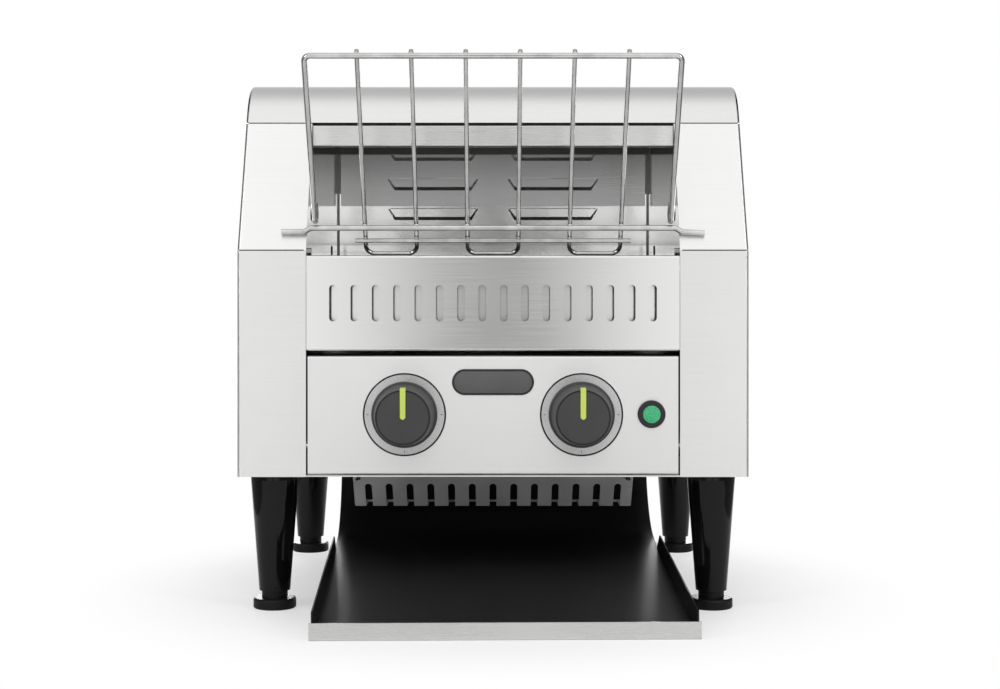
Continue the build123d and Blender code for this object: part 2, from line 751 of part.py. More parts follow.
hanger_ledge = SLIDE_TOP - GAP
ledge_start, ledge_end = HANGER_LEDGE
with BuildPart() as slide_hangers:
    for side in (-1, 1):
        with BuildSketch(front_plane(HANGER_BACK)):
            with BuildLine():
                Polyline(
                    (side * ledge_start, hanger_ledge),
                    (side * (ledge_end - SHEET), hanger_ledge),
                    (side * (ledge_end - SHEET), BODY_BOTTOM),
                    (side * HANGER_FLANGE_END, BODY_BOTTOM),
                    (side * HANGER_FLANGE_END, BODY_BOTTOM - SHEET),
                    (side * ledge_end, BODY_BOTTOM - SHEET),
                    (side * ledge_end, hanger_ledge - SHEET),
                    (side * ledge_start, hanger_ledge - SHEET),
                    close=True,
                )
            make_face()
        extrude(amount=HANGER_LENGTH)
save(slide_hangers.part, "slide_hangers")

# ---------------------------------------------------------------- toast slide

slide_axis = Axis((0, at(SLIDE_PIVOT), 0), (0, 0, 1))
floor_start = (LIP_DEPTH + SHEET + FIT, SHEET + FIT)
floor_rise = (SLIDE_CURVE_START[1] - floor_start[1]) / (SLIDE_CURVE_START[0] - floor_start[0])
tangent = SLIDE_CURVE * tan(radians(SLIDE_WALL - SLIDE_LIFT) / 2)
corner_depth = SLIDE_CURVE_START[0] + tangent * cos(radians(SLIDE_LIFT))
corner = (corner_depth, floor_start[1] + (corner_depth - floor_start[0]) * floor_rise)
wall_end = (corner[0] + (SLIDE_TOP - corner[1]) / tan(radians(SLIDE_WALL)), SLIDE_TOP)
flange_front = wall_end[0]
with BuildPart() as straight_slide:
    folded_sheet([floor_start, corner, wall_end], SLIDE_HALF_WIDTH, bend=SLIDE_CURVE)
    with BuildSketch(Plane.XY.offset(SLIDE_TOP)):
        with Locations((0, at((flange_front + SLIDE_FLANGE_BACK) / 2))):
            Rectangle(
                2 * (SLIDE_HALF_WIDTH + SLIDE_FLANGE), SLIDE_FLANGE_BACK - flange_front - SHEET
            )
        with Locations((0, at(flange_front))):
            Rectangle(2 * SLIDE_HALF_WIDTH, 5 * SHEET)
    extrude(amount=SHEET)
    for start in (-SLIDE_HALF_WIDTH, SLIDE_HALF_WIDTH - SHEET):
        side_prism(
            [
                (floor_start[0], floor_start[1] + SHEET / 2),
                *SLIDE_SIDE,
                (floor_start[0], SLIDE_SIDE_FRONT),
            ],
            start,
            SHEET,
        )
with BuildPart() as toast_slide:
    add(straight_slide.part.rotate(slide_axis, SLIDE_TURN))
save(toast_slide.part, "toast_slide")

with BuildPart() as straight_lip:
    folded_sheet(
        [(LIP_DEPTH + LIP_FOOT, 0), (LIP_DEPTH, 0), (LIP_DEPTH, LIP_HEIGHT)],
        LIP_HALF_WIDTH,
        side=Side.RIGHT,
        bend=SHARP_BEND,
    )
with BuildPart() as slide_lip:
    add(straight_lip.part.rotate(slide_axis, SLIDE_TURN))
save(slide_lip.part, "slide_lip")

# ---------------------------------------------------------------- heaters

corner_run, corner_drop = REFLECTOR_CORNER
with BuildPart() as upper_reflector:
    folded_sheet(
        [
            REFLECTOR_FRONT,
            (REFLECTOR_FRONT[0], REFLECTOR_TOP - corner_drop),
            (REFLECTOR_FRONT[0] + corner_run, REFLECTOR_TOP),
            (REFLECTOR_BACK[0], REFLECTOR_TOP),
            REFLECTOR_BACK,
        ],
        CHAMBER_HALF_WIDTH - GAP,
        side=Side.RIGHT,
    )
save(upper_reflector.part, "upper_reflector")

tray_front, tray_back = LOWER_REFLECTOR
tray_floor, tray_rim = LOWER_REFLECTOR_HEIGHTS
with BuildPart() as lower_reflector:
    folded_sheet(
        [
            (tray_front, tray_rim),
            (tray_front, tray_floor),
            (tray_back, tray_floor),
            (tray_back, tray_rim),
        ],
        CHAMBER_HALF_WIDTH - GAP,
    )
save(lower_reflector.part, "lower_reflector")

with BuildPart() as heater_tubes:
    for place in HEATER_TUBES:
        cross_rod(place, TUBE, -TUBE_HALF_LENGTH, TUBE_HALF_LENGTH)
save(heater_tubes.part, "heater_tubes")

with BuildPart() as heater_end_caps:
    for place in HEATER_TUBES:
        for start, end in ((TUBE_HALF_LENGTH, CAP_END), (-CAP_END, -TUBE_HALF_LENGTH)):
            cross_rod(place, CAP, start, end)
save(heater_end_caps.part, "heater_end_caps")

# ---------------------------------------------------------------- conveyor

with BuildPart() as conveyor_belt:
    for place in BELT_BAND_PLACES:
        with BuildSketch(Plane.YZ.offset(place - BELT_BAND[0] / 2)):
            with Locations(*side_points([((AXLE_DEPTH + DRIVE_DEPTH) / 2, AXLE_HEIGHT)])):
                SlotCenterToCenter(DRIVE_DEPTH - AXLE_DEPTH, 2 * BELT_RADIUS + BELT_BAND[1])
                SlotCenterToCenter(
                    DRIVE_DEPTH - AXLE_DEPTH, 2 * BELT_RADIUS - BELT_BAND[1], mode=Mode.SUBTRACT
                )
        extrude(amount=BELT_BAND[0])
    belt_places = [
        (AXLE_DEPTH + along, AXLE_HEIGHT + across)
        for along, across in loop_points(BELT_PITCH, BELT_TEETH, BELT_STEPS, BELT_RADIUS)
    ]
    with BuildSketch(Plane.YZ.offset(-BELT_HALF_WIDTH)):
        with Locations(*side_points(belt_places)):
            Circle(BELT_ROD / 2)
    extrude(amount=2 * BELT_HALF_WIDTH)
save(conveyor_belt.part, "conveyor_belt")

for label, depth, right_end in (
    ("front_shaft", AXLE_DEPTH, SHAFT_END),
    ("drive_shaft", DRIVE_DEPTH, SHAFT_END + SHAFT),
):
    with BuildPart() as shaft:
        cross_rod((depth, AXLE_HEIGHT), SHAFT, -SHAFT_END, right_end)
        chamfer(edges().filter_by(GeomType.CIRCLE), SHAFT_CHAMFER)
    save(shaft.part, label)

half_tooth = 180 / BELT_TEETH
for label, depth in (("front_sprockets", AXLE_DEPTH), ("drive_sprockets", DRIVE_DEPTH)):
    with BuildPart() as sprockets:
        for place in SPROCKET_PLACES:
            with BuildSketch(Plane.YZ.offset(place - SPROCKET_WIDTH / 2)):
                with Locations(*side_points([(depth, AXLE_HEIGHT)])):
                    Circle(SPROCKET_RADIUS)
                    with PolarLocations(SPROCKET_RADIUS, BELT_TEETH):
                        SlotOverall(TOOTH_SEAT, BELT_ROD + 4 * GAP, mode=Mode.SUBTRACT)
                    with PolarLocations(SPROCKET_HOLE_RING, SPROCKET_HOLES, start_angle=half_tooth):
                        Circle(SPROCKET_HOLE / 2, mode=Mode.SUBTRACT)
            extrude(amount=SPROCKET_WIDTH)
            hub_start, hub_end = place - HUB[1] / 2, place + HUB[1] / 2
            cross_rod((depth, AXLE_HEIGHT), HUB[0], hub_start, hub_end)
            cross_rod((depth, AXLE_HEIGHT), SHAFT, hub_start, hub_end, mode=Mode.SUBTRACT)
    save(sprockets.part, label)

with BuildPart() as shaft_bushes:
    for depth in (AXLE_DEPTH, DRIVE_DEPTH):
        for side in (-1, 1):
            near, wall, far = sorted(side * x for x in (*BUSH_SPAN, CHAMBER_HALF_WIDTH))
            cross_rod((depth, AXLE_HEIGHT), BUSH, near, far)
            collar = (near, wall) if side > 0 else (wall, far)
            cross_rod((depth, AXLE_HEIGHT), BUSH_COLLAR, *collar)
            cross_rod((depth, AXLE_HEIGHT), SHAFT + 2 * RUNNING, near, far, mode=Mode.SUBTRACT)
save(shaft_bushes.part, "shaft_bushes")

# ---------------------------------------------------------------- drive

chain_places = [
    (DRIVE_DEPTH + across, AXLE_HEIGHT - along)
    for along, across in loop_points(CHAIN_PITCH, CHAIN_TEETH, CHAIN_STEPS, CHAIN_RADIUS)
]
with BuildPart() as drive_chain:
    for start in (CHAIN_MIDDLE - CHAIN_WIDTH / 2, CHAIN_MIDDLE + CHAIN_WIDTH / 2 - CHAIN_PLATE):
        with BuildSketch(Plane.YZ.offset(start)):
            with Locations(*side_points([(DRIVE_DEPTH, (AXLE_HEIGHT + MOTOR_HEIGHT) / 2)])):
                SlotCenterToCenter(
                    CHAIN_STEPS * CHAIN_PITCH, 2 * CHAIN_RADIUS + CHAIN_PLATE_HEIGHT, rotation=90
                )
                SlotCenterToCenter(
                    CHAIN_STEPS * CHAIN_PITCH,
                    2 * CHAIN_RADIUS - CHAIN_PLATE_HEIGHT,
                    rotation=90,
                    mode=Mode.SUBTRACT,
                )
        extrude(amount=CHAIN_PLATE)
    with BuildSketch(Plane.YZ.offset(CHAIN_MIDDLE - CHAIN_WIDTH / 2)):
        with Locations(*side_points(chain_places)):
            Circle(CHAIN_ROLLER / 2)
    extrude(amount=CHAIN_WIDTH)
save(drive_chain.part, "drive_chain")

for label, height, hub_end in (
    ("shaft_chain_wheel", AXLE_HEIGHT, WHEEL_HUB_END),
    ("motor_chain_wheel", MOTOR_HEIGHT, BRACKET_PLATE - 3 * GAP),
):
    with BuildPart() as wheel:
        with BuildSketch(Plane.YZ.offset(CHAIN_MIDDLE - WHEEL_WIDTH / 2)):
            with Locations(*side_points([(DRIVE_DEPTH, height)])):
                Circle(WHEEL_RADIUS)
                with PolarLocations(WHEEL_RADIUS, CHAIN_TEETH):
                    SlotOverall(WHEEL_SEAT, CHAIN_ROLLER, mode=Mode.SUBTRACT)
        extrude(amount=WHEEL_WIDTH)
        cross_rod((DRIVE_DEPTH, height), WHEEL_HUB, CHAIN_MIDDLE, hub_end)
        cross_rod(
            (DRIVE_DEPTH, height), SHAFT, CHAIN_MIDDLE - WHEEL_WIDTH, hub_end, mode=Mode.SUBTRACT
        )
    save(wheel.part, label)

motor_place = (DRIVE_DEPTH, MOTOR_HEIGHT)
with BuildPart() as motor_shaft:
    cross_rod(motor_place, SHAFT, *MOTOR_SHAFT_SPAN)
    chamfer(edges().filter_by(GeomType.CIRCLE), SHAFT_CHAMFER)
save(motor_shaft.part, "motor_shaft")

bracket_foot = CHAMBER_HALF_WIDTH + SHEET
plate_reach, foot_reach = BRACKET_HALF_LENGTHS
with BuildPart() as motor_bracket:
    with BuildSketch(Plane.XY.offset(MOTOR_HEIGHT - BRACKET_DROP)):
        with BuildLine():
            FilletPolyline(
                (bracket_foot, at(DRIVE_DEPTH - foot_reach)),
                (bracket_foot, at(DRIVE_DEPTH - plate_reach)),
                (BRACKET_PLATE, at(DRIVE_DEPTH - plate_reach)),
                (BRACKET_PLATE, at(DRIVE_DEPTH + plate_reach)),
                (bracket_foot, at(DRIVE_DEPTH + plate_reach)),
                (bracket_foot, at(DRIVE_DEPTH + foot_reach)),
                radius=BEND,
            )
            offset(amount=BRACKET_SHEET, side=Side.RIGHT)
        make_face()
    extrude(amount=BRACKET_HEIGHT)
    cross_rod(
        motor_place,
        PILOT_HOLE,
        BRACKET_PLATE - BRACKET_SHEET,
        BRACKET_PLATE + 2 * BRACKET_SHEET,
        mode=Mode.SUBTRACT,
    )
save(motor_bracket.part, "motor_bracket")

gearbox_start = BRACKET_PLATE + BRACKET_SHEET
with BuildPart() as gear_motor:
    with BuildSketch(Plane.YZ.offset(gearbox_start)):
        with Locations(*side_points([motor_place])):
            RectangleRounded(GEARBOX, GEARBOX, GEARBOX_CORNER)
    extrude(amount=GEARBOX_LENGTH)
    cross_rod(motor_place, MOTOR_CAN, gearbox_start + GEARBOX_LENGTH, MOTOR_END)
    cross_rod(motor_place, GEARBOX_PILOT, gearbox_start - SHEET, gearbox_start)
    cross_rod(
        motor_place,
        SHAFT + 2 * RUNNING,
        gearbox_start - SHEET,
        MOTOR_SHAFT_SPAN[1] + SHEET / 2,
        mode=Mode.SUBTRACT,
    )
save(gear_motor.part, "gear_motor")

# ---------------------------------------------------------------- controls

knob_start = DIAL_THICKNESS + GAP
knob_height = KNOB_LENGTH - knob_start
pointer_width, pointer_length, pointer_depth = POINTER
pointer_middle = KNOB_FACE / 2 - pointer_length / 2
for label, side in (("heat", -1), ("speed", 1)):
    knob_plane = front_plane(-knob_start).shift_origin((side * KNOB_PLACE, at(-knob_start), KNOB_HEIGHT))
    with BuildPart() as knob:
        with BuildSketch(knob_plane):
            Circle(KNOB_BASE / 2)
        extrude(amount=KNOB_SKIRT)
        with BuildSketch(knob_plane.offset(KNOB_SKIRT)):
            Circle(KNOB_BASE / 2 - KNOB_STEP)
        with BuildSketch(knob_plane.offset(knob_height)):
            Circle(KNOB_FACE / 2)
        loft()
        fillet(faces().sort_by(Axis.Y)[0].edges(), KNOB_ROUND)
        with BuildSketch(knob_plane):
            Circle(SPINDLE / 2)
        extrude(amount=SPINDLE_IN_KNOB, mode=Mode.SUBTRACT)
        with BuildSketch(knob_plane.offset(knob_height)):
            with Locations((0, pointer_middle)):
                Rectangle(pointer_width, pointer_length)
        extrude(amount=-pointer_depth, mode=Mode.SUBTRACT)
    save(knob.part, f"{label}_knob")

    with BuildPart() as pointer:
        with BuildSketch(knob_plane.offset(knob_height - pointer_depth)):
            with Locations((0, pointer_middle - POINTER_MARGIN)):
                Rectangle(pointer_width, pointer_length - 2 * POINTER_MARGIN)
        extrude(amount=pointer_depth + FIT)
    save(pointer.part, f"{label}_knob_pointer")

    with BuildPart() as spindle:
        with BuildSketch(knob_plane.offset(SPINDLE_IN_KNOB)):
            Circle(SPINDLE / 2)
        extrude(amount=-(SPINDLE_IN_KNOB + knob_start + SPINDLE_END))
    save(spindle.part, f"{label}_spindle")

switch_front = SHEET + 2 * FIT
switch_width, switch_round, switch_back = SWITCH
tab_width, tab_height, tab_length = SWITCH_TAB
with BuildPart() as selector_switch:
    with BuildSketch(front_plane(switch_back)):
        with Locations((-KNOB_PLACE, KNOB_HEIGHT)):
            RectangleRounded(switch_width, switch_width, switch_round)
    extrude(amount=switch_back - switch_front)
    front_disc(
        (-KNOB_PLACE, KNOB_HEIGHT), SPINDLE + 2 * RUNNING, 0, SPINDLE_END + GAP, mode=Mode.SUBTRACT
    )
    with BuildSketch(front_plane(switch_back)):
        with Locations((-KNOB_PLACE, KNOB_HEIGHT)):
            with GridLocations(*SWITCH_TAB_PITCH, *SWITCH_TAB_COUNT):
                Rectangle(tab_width, tab_height)
    extrude(amount=-tab_length)
save(selector_switch.part, "selector_switch")

board_width, board_height, board_thickness = BOARD
capacitor_width, capacitor_height, capacitor_length = CAPACITOR
with BuildPart() as speed_regulator:
    front_disc((KNOB_PLACE, KNOB_HEIGHT), REGULATOR, switch_front, BOARD_BACK - board_thickness)
    with BuildSketch(front_plane(BOARD_BACK)):
        with Locations((KNOB_PLACE - BOARD_SHIFT, KNOB_HEIGHT)):
            Rectangle(board_width, board_height)
    extrude(amount=board_thickness)
    front_disc(
        (KNOB_PLACE, KNOB_HEIGHT), SPINDLE + 2 * RUNNING, 0, SPINDLE_END + GAP, mode=Mode.SUBTRACT
    )
    with BuildSketch(front_plane(BOARD_BACK)):
        with Locations((KNOB_PLACE, KNOB_HEIGHT)):
            with Locations(*CAPACITOR_PLACES):
                Rectangle(capacitor_width, capacitor_height)
    extrude(amount=-capacitor_length)
save(speed_regulator.part, "speed_regulator")

terminal_width, terminal_length, terminal_height = TERMINAL
well_diameter, well_depth = TERMINAL_WELL
with BuildPart() as terminal_block:
    with BuildSketch(Plane.XY.offset(BODY_BOTTOM + SHEET)):
        with Locations((-LEG_PLACE, at(TERMINAL_DEPTH))):
            Rectangle(terminal_width, terminal_length)
    extrude(amount=terminal_height)
    with BuildSketch(Plane.XY.offset(BODY_BOTTOM + SHEET + terminal_height)):
        with Locations((-LEG_PLACE, at(TERMINAL_DEPTH))):
            with GridLocations(*TERMINAL_GRID, *TERMINAL_COUNT):
                Circle(well_diameter / 2)
    extrude(amount=-well_depth, mode=Mode.SUBTRACT)
save(terminal_block.part, "terminal_block")

gland_place = (-LEG_PLACE, at(GLAND_DEPTH))
gland_bottom = GLAND_RINGS[0][0]
gland_top = GLAND_RINGS[-1][1]
with BuildPart() as cable_gland:
    for low, high, diameter in [*GLAND_RINGS, (BODY_BOTTOM, gland_top, GLAND_THREAD - FIT)]:
        with BuildSketch(Plane.XY.offset(low)):
            with Locations(gland_place):
                Circle(diameter / 2)
        extrude(amount=high - low)
    chamfer(faces().sort_by(Axis.Z)[0].edges(), 2 * SHEET)
    with BuildSketch(Plane.XY.offset(gland_bottom)):
        with Locations(gland_place):
            Circle(GLAND_CABLE / 2)
    extrude(amount=gland_top - gland_bottom, mode=Mode.SUBTRACT)
save(cable_gland.part, "cable_gland")

# ---------------------------------------------------------------- cooling fan

fan_back = BACK_FACE - SHEET
fan_front = fan_back - FAN_DEPTH
spoke_width, spoke_depth = FAN_SPOKE
with BuildPart() as fan_frame:
    with BuildSketch(front_plane(fan_back)):
        with Locations(FAN_PLACE):
            RectangleRounded(FAN_SIZE, FAN_SIZE, FAN_CORNER)
            Circle(FAN_BORE / 2, mode=Mode.SUBTRACT)
            with GridLocations(FAN_HOLE_PITCH, FAN_HOLE_PITCH, 2, 2):
                Circle(FAN_HOLE / 2, mode=Mode.SUBTRACT)
    extrude(amount=FAN_DEPTH)
    with BuildSketch(front_plane(fan_front + spoke_depth)):
        with Locations(FAN_PLACE):
            Circle(FAN_HUB / 2 + SHEET)
            with PolarLocations(0, FAN_SPOKES, start_angle=180 / FAN_SPOKES):
                with Locations((FAN_BORE / 4 + SHEET, 0)):
                    Rectangle(FAN_BORE / 2 + SHEET, spoke_width)
    extrude(amount=spoke_depth)
save(fan_frame.part, "fan_frame")

rotor_front = fan_front + spoke_depth + SHEET
rotor_back = fan_back - 2 * SHEET
tilt_cosine, tilt_sine = cos(radians(FAN_TILT)), sin(radians(FAN_TILT))
with BuildPart() as fan_rotor:
    front_disc(FAN_PLACE, FAN_HUB, rotor_front, rotor_back)
    for number in range(FAN_BLADES):
        turn = 2 * pi / FAN_BLADES * number
        blade_plane = Plane(
            origin=(FAN_PLACE[0], at((rotor_front + rotor_back) / 2), FAN_PLACE[1]),
            x_dir=(-sin(turn) * tilt_cosine, tilt_sine, cos(turn) * tilt_cosine),
            z_dir=(cos(turn), 0, sin(turn)),
        )
        with BuildSketch(blade_plane.offset(FAN_BLADE_START)):
            Rectangle(*FAN_BLADE)
        extrude(amount=FAN_BORE / 2 - FAN_TIP_GAP - FAN_BLADE_START)
save(fan_rotor.part, "fan_rotor")

# ---------------------------------------------------------------- loading rack


def rack_point(x, along, behind=0.0):
    """A point of the rack: along counts up its slope from the lower bar, behind counts off it."""
    forward, upward = RACK_RISE
    depth = RACK_BAR[0] + along * forward + behind * upward
    return (x, depth, RACK_BAR[1] + along * upward - behind * forward)


rod_layer = (RACK_WIRE + RACK_ROD) / 2 - WIRE_TOUCH
hook_low, hook_high = HOOK_RISE
with BuildPart() as rack_frame:
    left_end = [
        rack_point(-RACK_HALF_WIDTH, hook_high, HOOK_REACH),
        rack_point(-RACK_HALF_WIDTH, hook_low, HOOK_REACH),
        rack_point(-RACK_HALF_WIDTH, hook_low),
    ]
    right_end = [(-x, depth, height) for x, depth, height in reversed(left_end)]
    top_corners = [rack_point(side * RACK_HALF_WIDTH, RACK_LENGTH) for side in (-1, 1)]
    bent_wire(left_end + top_corners + right_end, RACK_WIRE, FRAME_BEND)
save(rack_frame.part, "rack_frame")

with BuildPart() as rack_rods:
    for middle in RACK_PAIRS:
        left, right = middle - RACK_PAIR_WIDTH / 2, middle + RACK_PAIR_WIDTH / 2
        bent_wire(
            [
                rack_point(left, RACK_LENGTH + ROD_OVERHANG, rod_layer),
                rack_point(left, ROD_LOW, rod_layer),
                rack_point(right, ROD_LOW, rod_layer),
                rack_point(right, RACK_LENGTH + ROD_OVERHANG, rod_layer),
            ],
            RACK_ROD,
            ROD_BEND,
        )
save(rack_rods.part, "rack_rods")

thin_layer = rod_layer - RACK_ROD + WIRE_TOUCH
with BuildPart() as rack_bars:
    bar_x, bar_depth, bar_height = rack_point(0, 0)
    bent_wire(
        [
            (-EAR_END, EAR_DEPTH, EAR_HEIGHT),
            (-EAR_START, EAR_DEPTH, EAR_HEIGHT),
            (-BAR_END, bar_depth, bar_height),
            (BAR_END, bar_depth, bar_height),
            (EAR_START, EAR_DEPTH, EAR_HEIGHT),
            (EAR_END, EAR_DEPTH, EAR_HEIGHT - EAR_DROOP),
        ],
        RACK_WIRE,
        EAR_BEND,
    )
    second = rack_point(0, SECOND_BAR_ALONG, thin_layer)
    cross_rod(second[1:], RACK_ROD, *SECOND_BAR)
save(rack_bars.part, "rack_bars")

# ---------------------------------------------------------------- legs, feet and screws

leg_places = {
    f"{row}_{name}": (side * LEG_PLACE, at(depth))
    for row, depth in LEG_DEPTHS.items()
    for name, side in (("left", -1), ("right", 1))
}
with BuildPart() as legs:
    for place in leg_places.values():
        with BuildSketch(Plane(origin=(*place, LEG_END_HEIGHT))):
            Circle(LEG_END / 2)
        with BuildSketch(Plane(origin=(*place, BODY_BOTTOM - LEG_CAP))):
            Circle(LEG_TOP / 2)
        loft()
        with BuildSketch(Plane(origin=(*place, BODY_BOTTOM - LEG_CAP))):
            Circle(LEG_TOP / 2)
        extrude(amount=LEG_CAP)
        with BuildSketch(Plane(origin=(*place, 0))):
            Circle(FOOT_STEM / 2 + RUNNING)
        extrude(amount=FOOT_STEM_TOP + FOOT_BORE_SPARE, mode=Mode.SUBTRACT)
        with BuildSketch(Plane(origin=(*place, LEG_END_HEIGHT))):
            Circle(FOOT_NECK / 2 + GAP)
        extrude(amount=NECK_BORE, mode=Mode.SUBTRACT)
        with BuildSketch(Plane(origin=(*place, BOLT_BORE_END))):
            Circle(BOLT / 2)
        extrude(amount=BODY_BOTTOM - BOLT_BORE_END, mode=Mode.SUBTRACT)
save(legs.part, "legs")

with BuildPart() as leg_bolts:
    for place in leg_places.values():
        with BuildSketch(Plane(origin=(*place, BOLT_END))):
            Circle(BOLT / 2)
        extrude(amount=BODY_BOTTOM + SHEET - BOLT_END)
        with BuildSketch(Plane(origin=(*place, BODY_BOTTOM + SHEET))):
            RegularPolygon(BOLT_HEAD[0], 6)
        extrude(amount=BOLT_HEAD[1])
save(leg_bolts.part, "leg_bolts")

for label, place in leg_places.items():
    with BuildPart() as foot:
        with BuildSketch(Plane(origin=(*place, 0))):
            Circle(FOOT / 2)
        extrude(amount=FOOT_HEIGHT)
        fillet(faces().sort_by(Axis.Z)[-1].edges(), FOOT_ROUND)
        chamfer(faces().sort_by(Axis.Z)[0].edges(), FOOT_CHAMFER)
        with BuildSketch(Plane(origin=(*place, FOOT_HEIGHT))):
            Circle(FOOT_NECK / 2)
        extrude(amount=LEG_END_HEIGHT - FOOT_HEIGHT + SHEET)
        with BuildSketch(Plane(origin=(*place, FOOT_HEIGHT))):
            Circle(FOOT_STEM / 2)
        extrude(amount=FOOT_STEM_TOP - FOOT_HEIGHT)
    save(foot.part, f"foot_{label}")

with BuildPart() as back_screws:
    with BuildSketch(front_plane(BACK_FACE)):
        with Locations(*BACK_SCREW_PLACES):
            Circle(BACK_SCREW_HEAD / 2)
    extrude(amount=-SCREW_HEAD)
    fillet(faces().sort_by(Axis.Y)[-len(BACK_SCREW_PLACES) :].edges(), COVER_SEAM)
save(back_screws.part, "back_screws")

head_diameter, head_height = CHAMBER_SCREW_HEAD
with BuildPart() as chamber_screws:
    for side in (-1, 1):
        head = sorted((side * (CHAMBER_HALF_WIDTH - head_height), side * CHAMBER_HALF_WIDTH))
        shank = sorted((side * CHAMBER_HALF_WIDTH, side * (CHAMBER_HALF_WIDTH + 4 * SHEET)))
        cross_rod(SCREW_PLACE, head_diameter, *head)
        cross_rod(SCREW_PLACE, SCREW_THREAD, *shank)
save(chamber_screws.part, "chamber_screws")
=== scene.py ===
import logging
import math
from dataclasses import dataclass
from enum import Enum
from typing import ClassVar

import bmesh
import bpy
import numpy as np
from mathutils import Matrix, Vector


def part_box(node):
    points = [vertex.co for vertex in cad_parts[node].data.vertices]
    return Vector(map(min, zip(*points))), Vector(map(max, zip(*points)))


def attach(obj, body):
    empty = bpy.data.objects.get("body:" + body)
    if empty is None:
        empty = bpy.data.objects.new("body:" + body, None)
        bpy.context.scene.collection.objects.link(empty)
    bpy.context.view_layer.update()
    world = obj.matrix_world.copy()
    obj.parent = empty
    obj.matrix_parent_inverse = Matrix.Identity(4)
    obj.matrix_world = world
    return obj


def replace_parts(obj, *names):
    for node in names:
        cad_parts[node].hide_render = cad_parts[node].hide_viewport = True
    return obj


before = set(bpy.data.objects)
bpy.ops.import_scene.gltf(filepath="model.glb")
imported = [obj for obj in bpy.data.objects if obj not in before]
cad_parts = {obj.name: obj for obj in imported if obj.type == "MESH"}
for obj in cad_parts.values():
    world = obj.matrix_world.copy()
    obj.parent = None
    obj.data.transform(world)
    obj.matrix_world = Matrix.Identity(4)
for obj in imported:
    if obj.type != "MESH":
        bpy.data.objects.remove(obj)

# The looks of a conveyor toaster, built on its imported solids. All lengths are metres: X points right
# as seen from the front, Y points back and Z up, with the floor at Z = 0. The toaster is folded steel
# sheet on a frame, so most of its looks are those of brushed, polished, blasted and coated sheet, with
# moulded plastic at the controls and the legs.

MM = 0.001
WAVE_REPEAT = math.pi / 10  # A wave texture of scale 1 repeats itself at this length.
LOG = logging.getLogger("toaster")

Socket = bpy.types.NodeSocket
Tree = bpy.types.NodeTree
Value = float | tuple[float, ...] | Socket


# ------------------------------------------------------------------------------ shared helpers


def linear(code: str) -> tuple[float, float, float, float]:
    """Turns an sRGB hex colour into linear light.

    Args:
        code: The colour as "#rrggbb".

    Returns:
        Red, green, blue and an alpha of one.
    """
    parts = np.array([int(code[i : i + 2], 16) for i in (1, 3, 5)]) / 255
    light = np.where(parts <= 0.04045, parts / 12.92, ((parts + 0.055) / 1.055) ** 2.4)
    return (*(float(part) for part in light), 1.0)


def add(tree: Tree, kind: str, inputs: dict[str | int, Value], **settings: object) -> bpy.types.Node:
    """Adds a node with its settings, and sets or links its inputs.

    Args:
        tree: The node tree that gets the node.
        kind: The node's type, without its ShaderNode prefix.
        inputs: For each input, by name or number, a value or the output that feeds it.
        settings: The node's own properties.

    Returns:
        The new node.
    """
    node = tree.nodes.new(f"ShaderNode{kind}")
    for name, value in settings.items():
        setattr(node, name, value)
    for name, value in inputs.items():
        if isinstance(value, Socket):
            tree.links.new(value, node.inputs[name])
        else:
            node.inputs[name].default_value = value
    return node


def smoothstep(low: float, high: float, values: np.ndarray) -> np.ndarray:
    """Rises from 0 at low to 1 at high as 3t^2 - 2t^3, and stays level outside."""
    share = np.clip((values - low) / (high - low), 0, 1)
    return share * share * (3 - 2 * share)


def circle(steps: int) -> np.ndarray:
    """Evenly spaced angles once round a circle."""
    return np.linspace(0, 2 * np.pi, steps, endpoint=False)


def grid_quads(rows: int, columns: int) -> np.ndarray:
    """Numbers the quads of a grid of points, stored row by row, whose last column joins the first.

    Args:
        rows: How many rows of points.
        columns: How many points in a row.

    Returns:
        An array of four point numbers for each quad.
    """
    row, column = np.meshgrid(np.arange(rows - 1), np.arange(columns), indexing="ij")
    following = (column + 1) % columns
    near, far = row * columns, (row + 1) * columns
    corners = (near + column, near + following, far + following, far + column)
    return np.stack(corners, axis=-1).reshape(-1, 4)


def rounded(corners: list[tuple[float, float, float]], arc: int = 6) -> np.ndarray:
    """Rounds the corners of a profile: each becomes a quadratic curve between its two sides.

    Args:
        corners: For each corner its two coordinates and how far from it the rounding starts.
        arc: How many points a rounded corner gets.

    Returns:
        The profile's points.
    """
    points = np.array([corner[:2] for corner in corners], float)
    share = np.linspace(0, 1, arc)[:, None]
    most = 0.49  # Of a side, so that the roundings at its two ends never meet.
    pieces = [points[:1]]
    for before, corner, after, (_, _, reach) in zip(points, points[1:], points[2:], corners[1:-1]):
        start = corner + (before - corner) * min(most, reach / np.linalg.norm(before - corner))
        end = corner + (after - corner) * min(most, reach / np.linalg.norm(after - corner))
        pieces.append((1 - share) ** 2 * start + 2 * share * (1 - share) * corner + share**2 * end)
    return np.concatenate([*pieces, points[-1:]])


def turned(profile: np.ndarray, centre: tuple[float, float, float], steps: int) -> np.ndarray:
    """Turns a profile about an axis that points out of the front.

    A point is the centre, plus its radius round the axis, less its height along Y.

    Args:
        profile: Pairs of radius and height, from one end of the axis to the other.
        centre: Where height 0 of the axis is.
        steps: How many points go round.

    Returns:
        Points as (1, rows, columns, 3), for one Piece copy.
    """
    radius, height = profile[:, :1], np.repeat(profile[:, 1:], steps, axis=1)
    across, up = radius * np.cos(circle(steps)), radius * np.sin(circle(steps))
    return (np.stack((across, -height, up), axis=-1) + np.array(centre))[None]


def closed_ends(rows: np.ndarray) -> np.ndarray:
    """Adds a row at each end in which all points meet at the middle of the end row."""
    first, last = (np.broadcast_to(rows[end].mean(axis=0), rows[end].shape)[None] for end in (0, -1))
    return np.concatenate((first, rows, last))


def front_y() -> float:
    """The Y of the front panels' faces."""
    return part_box("control_panel")[0].y


# ------------------------------------------------------------------------------ finishes


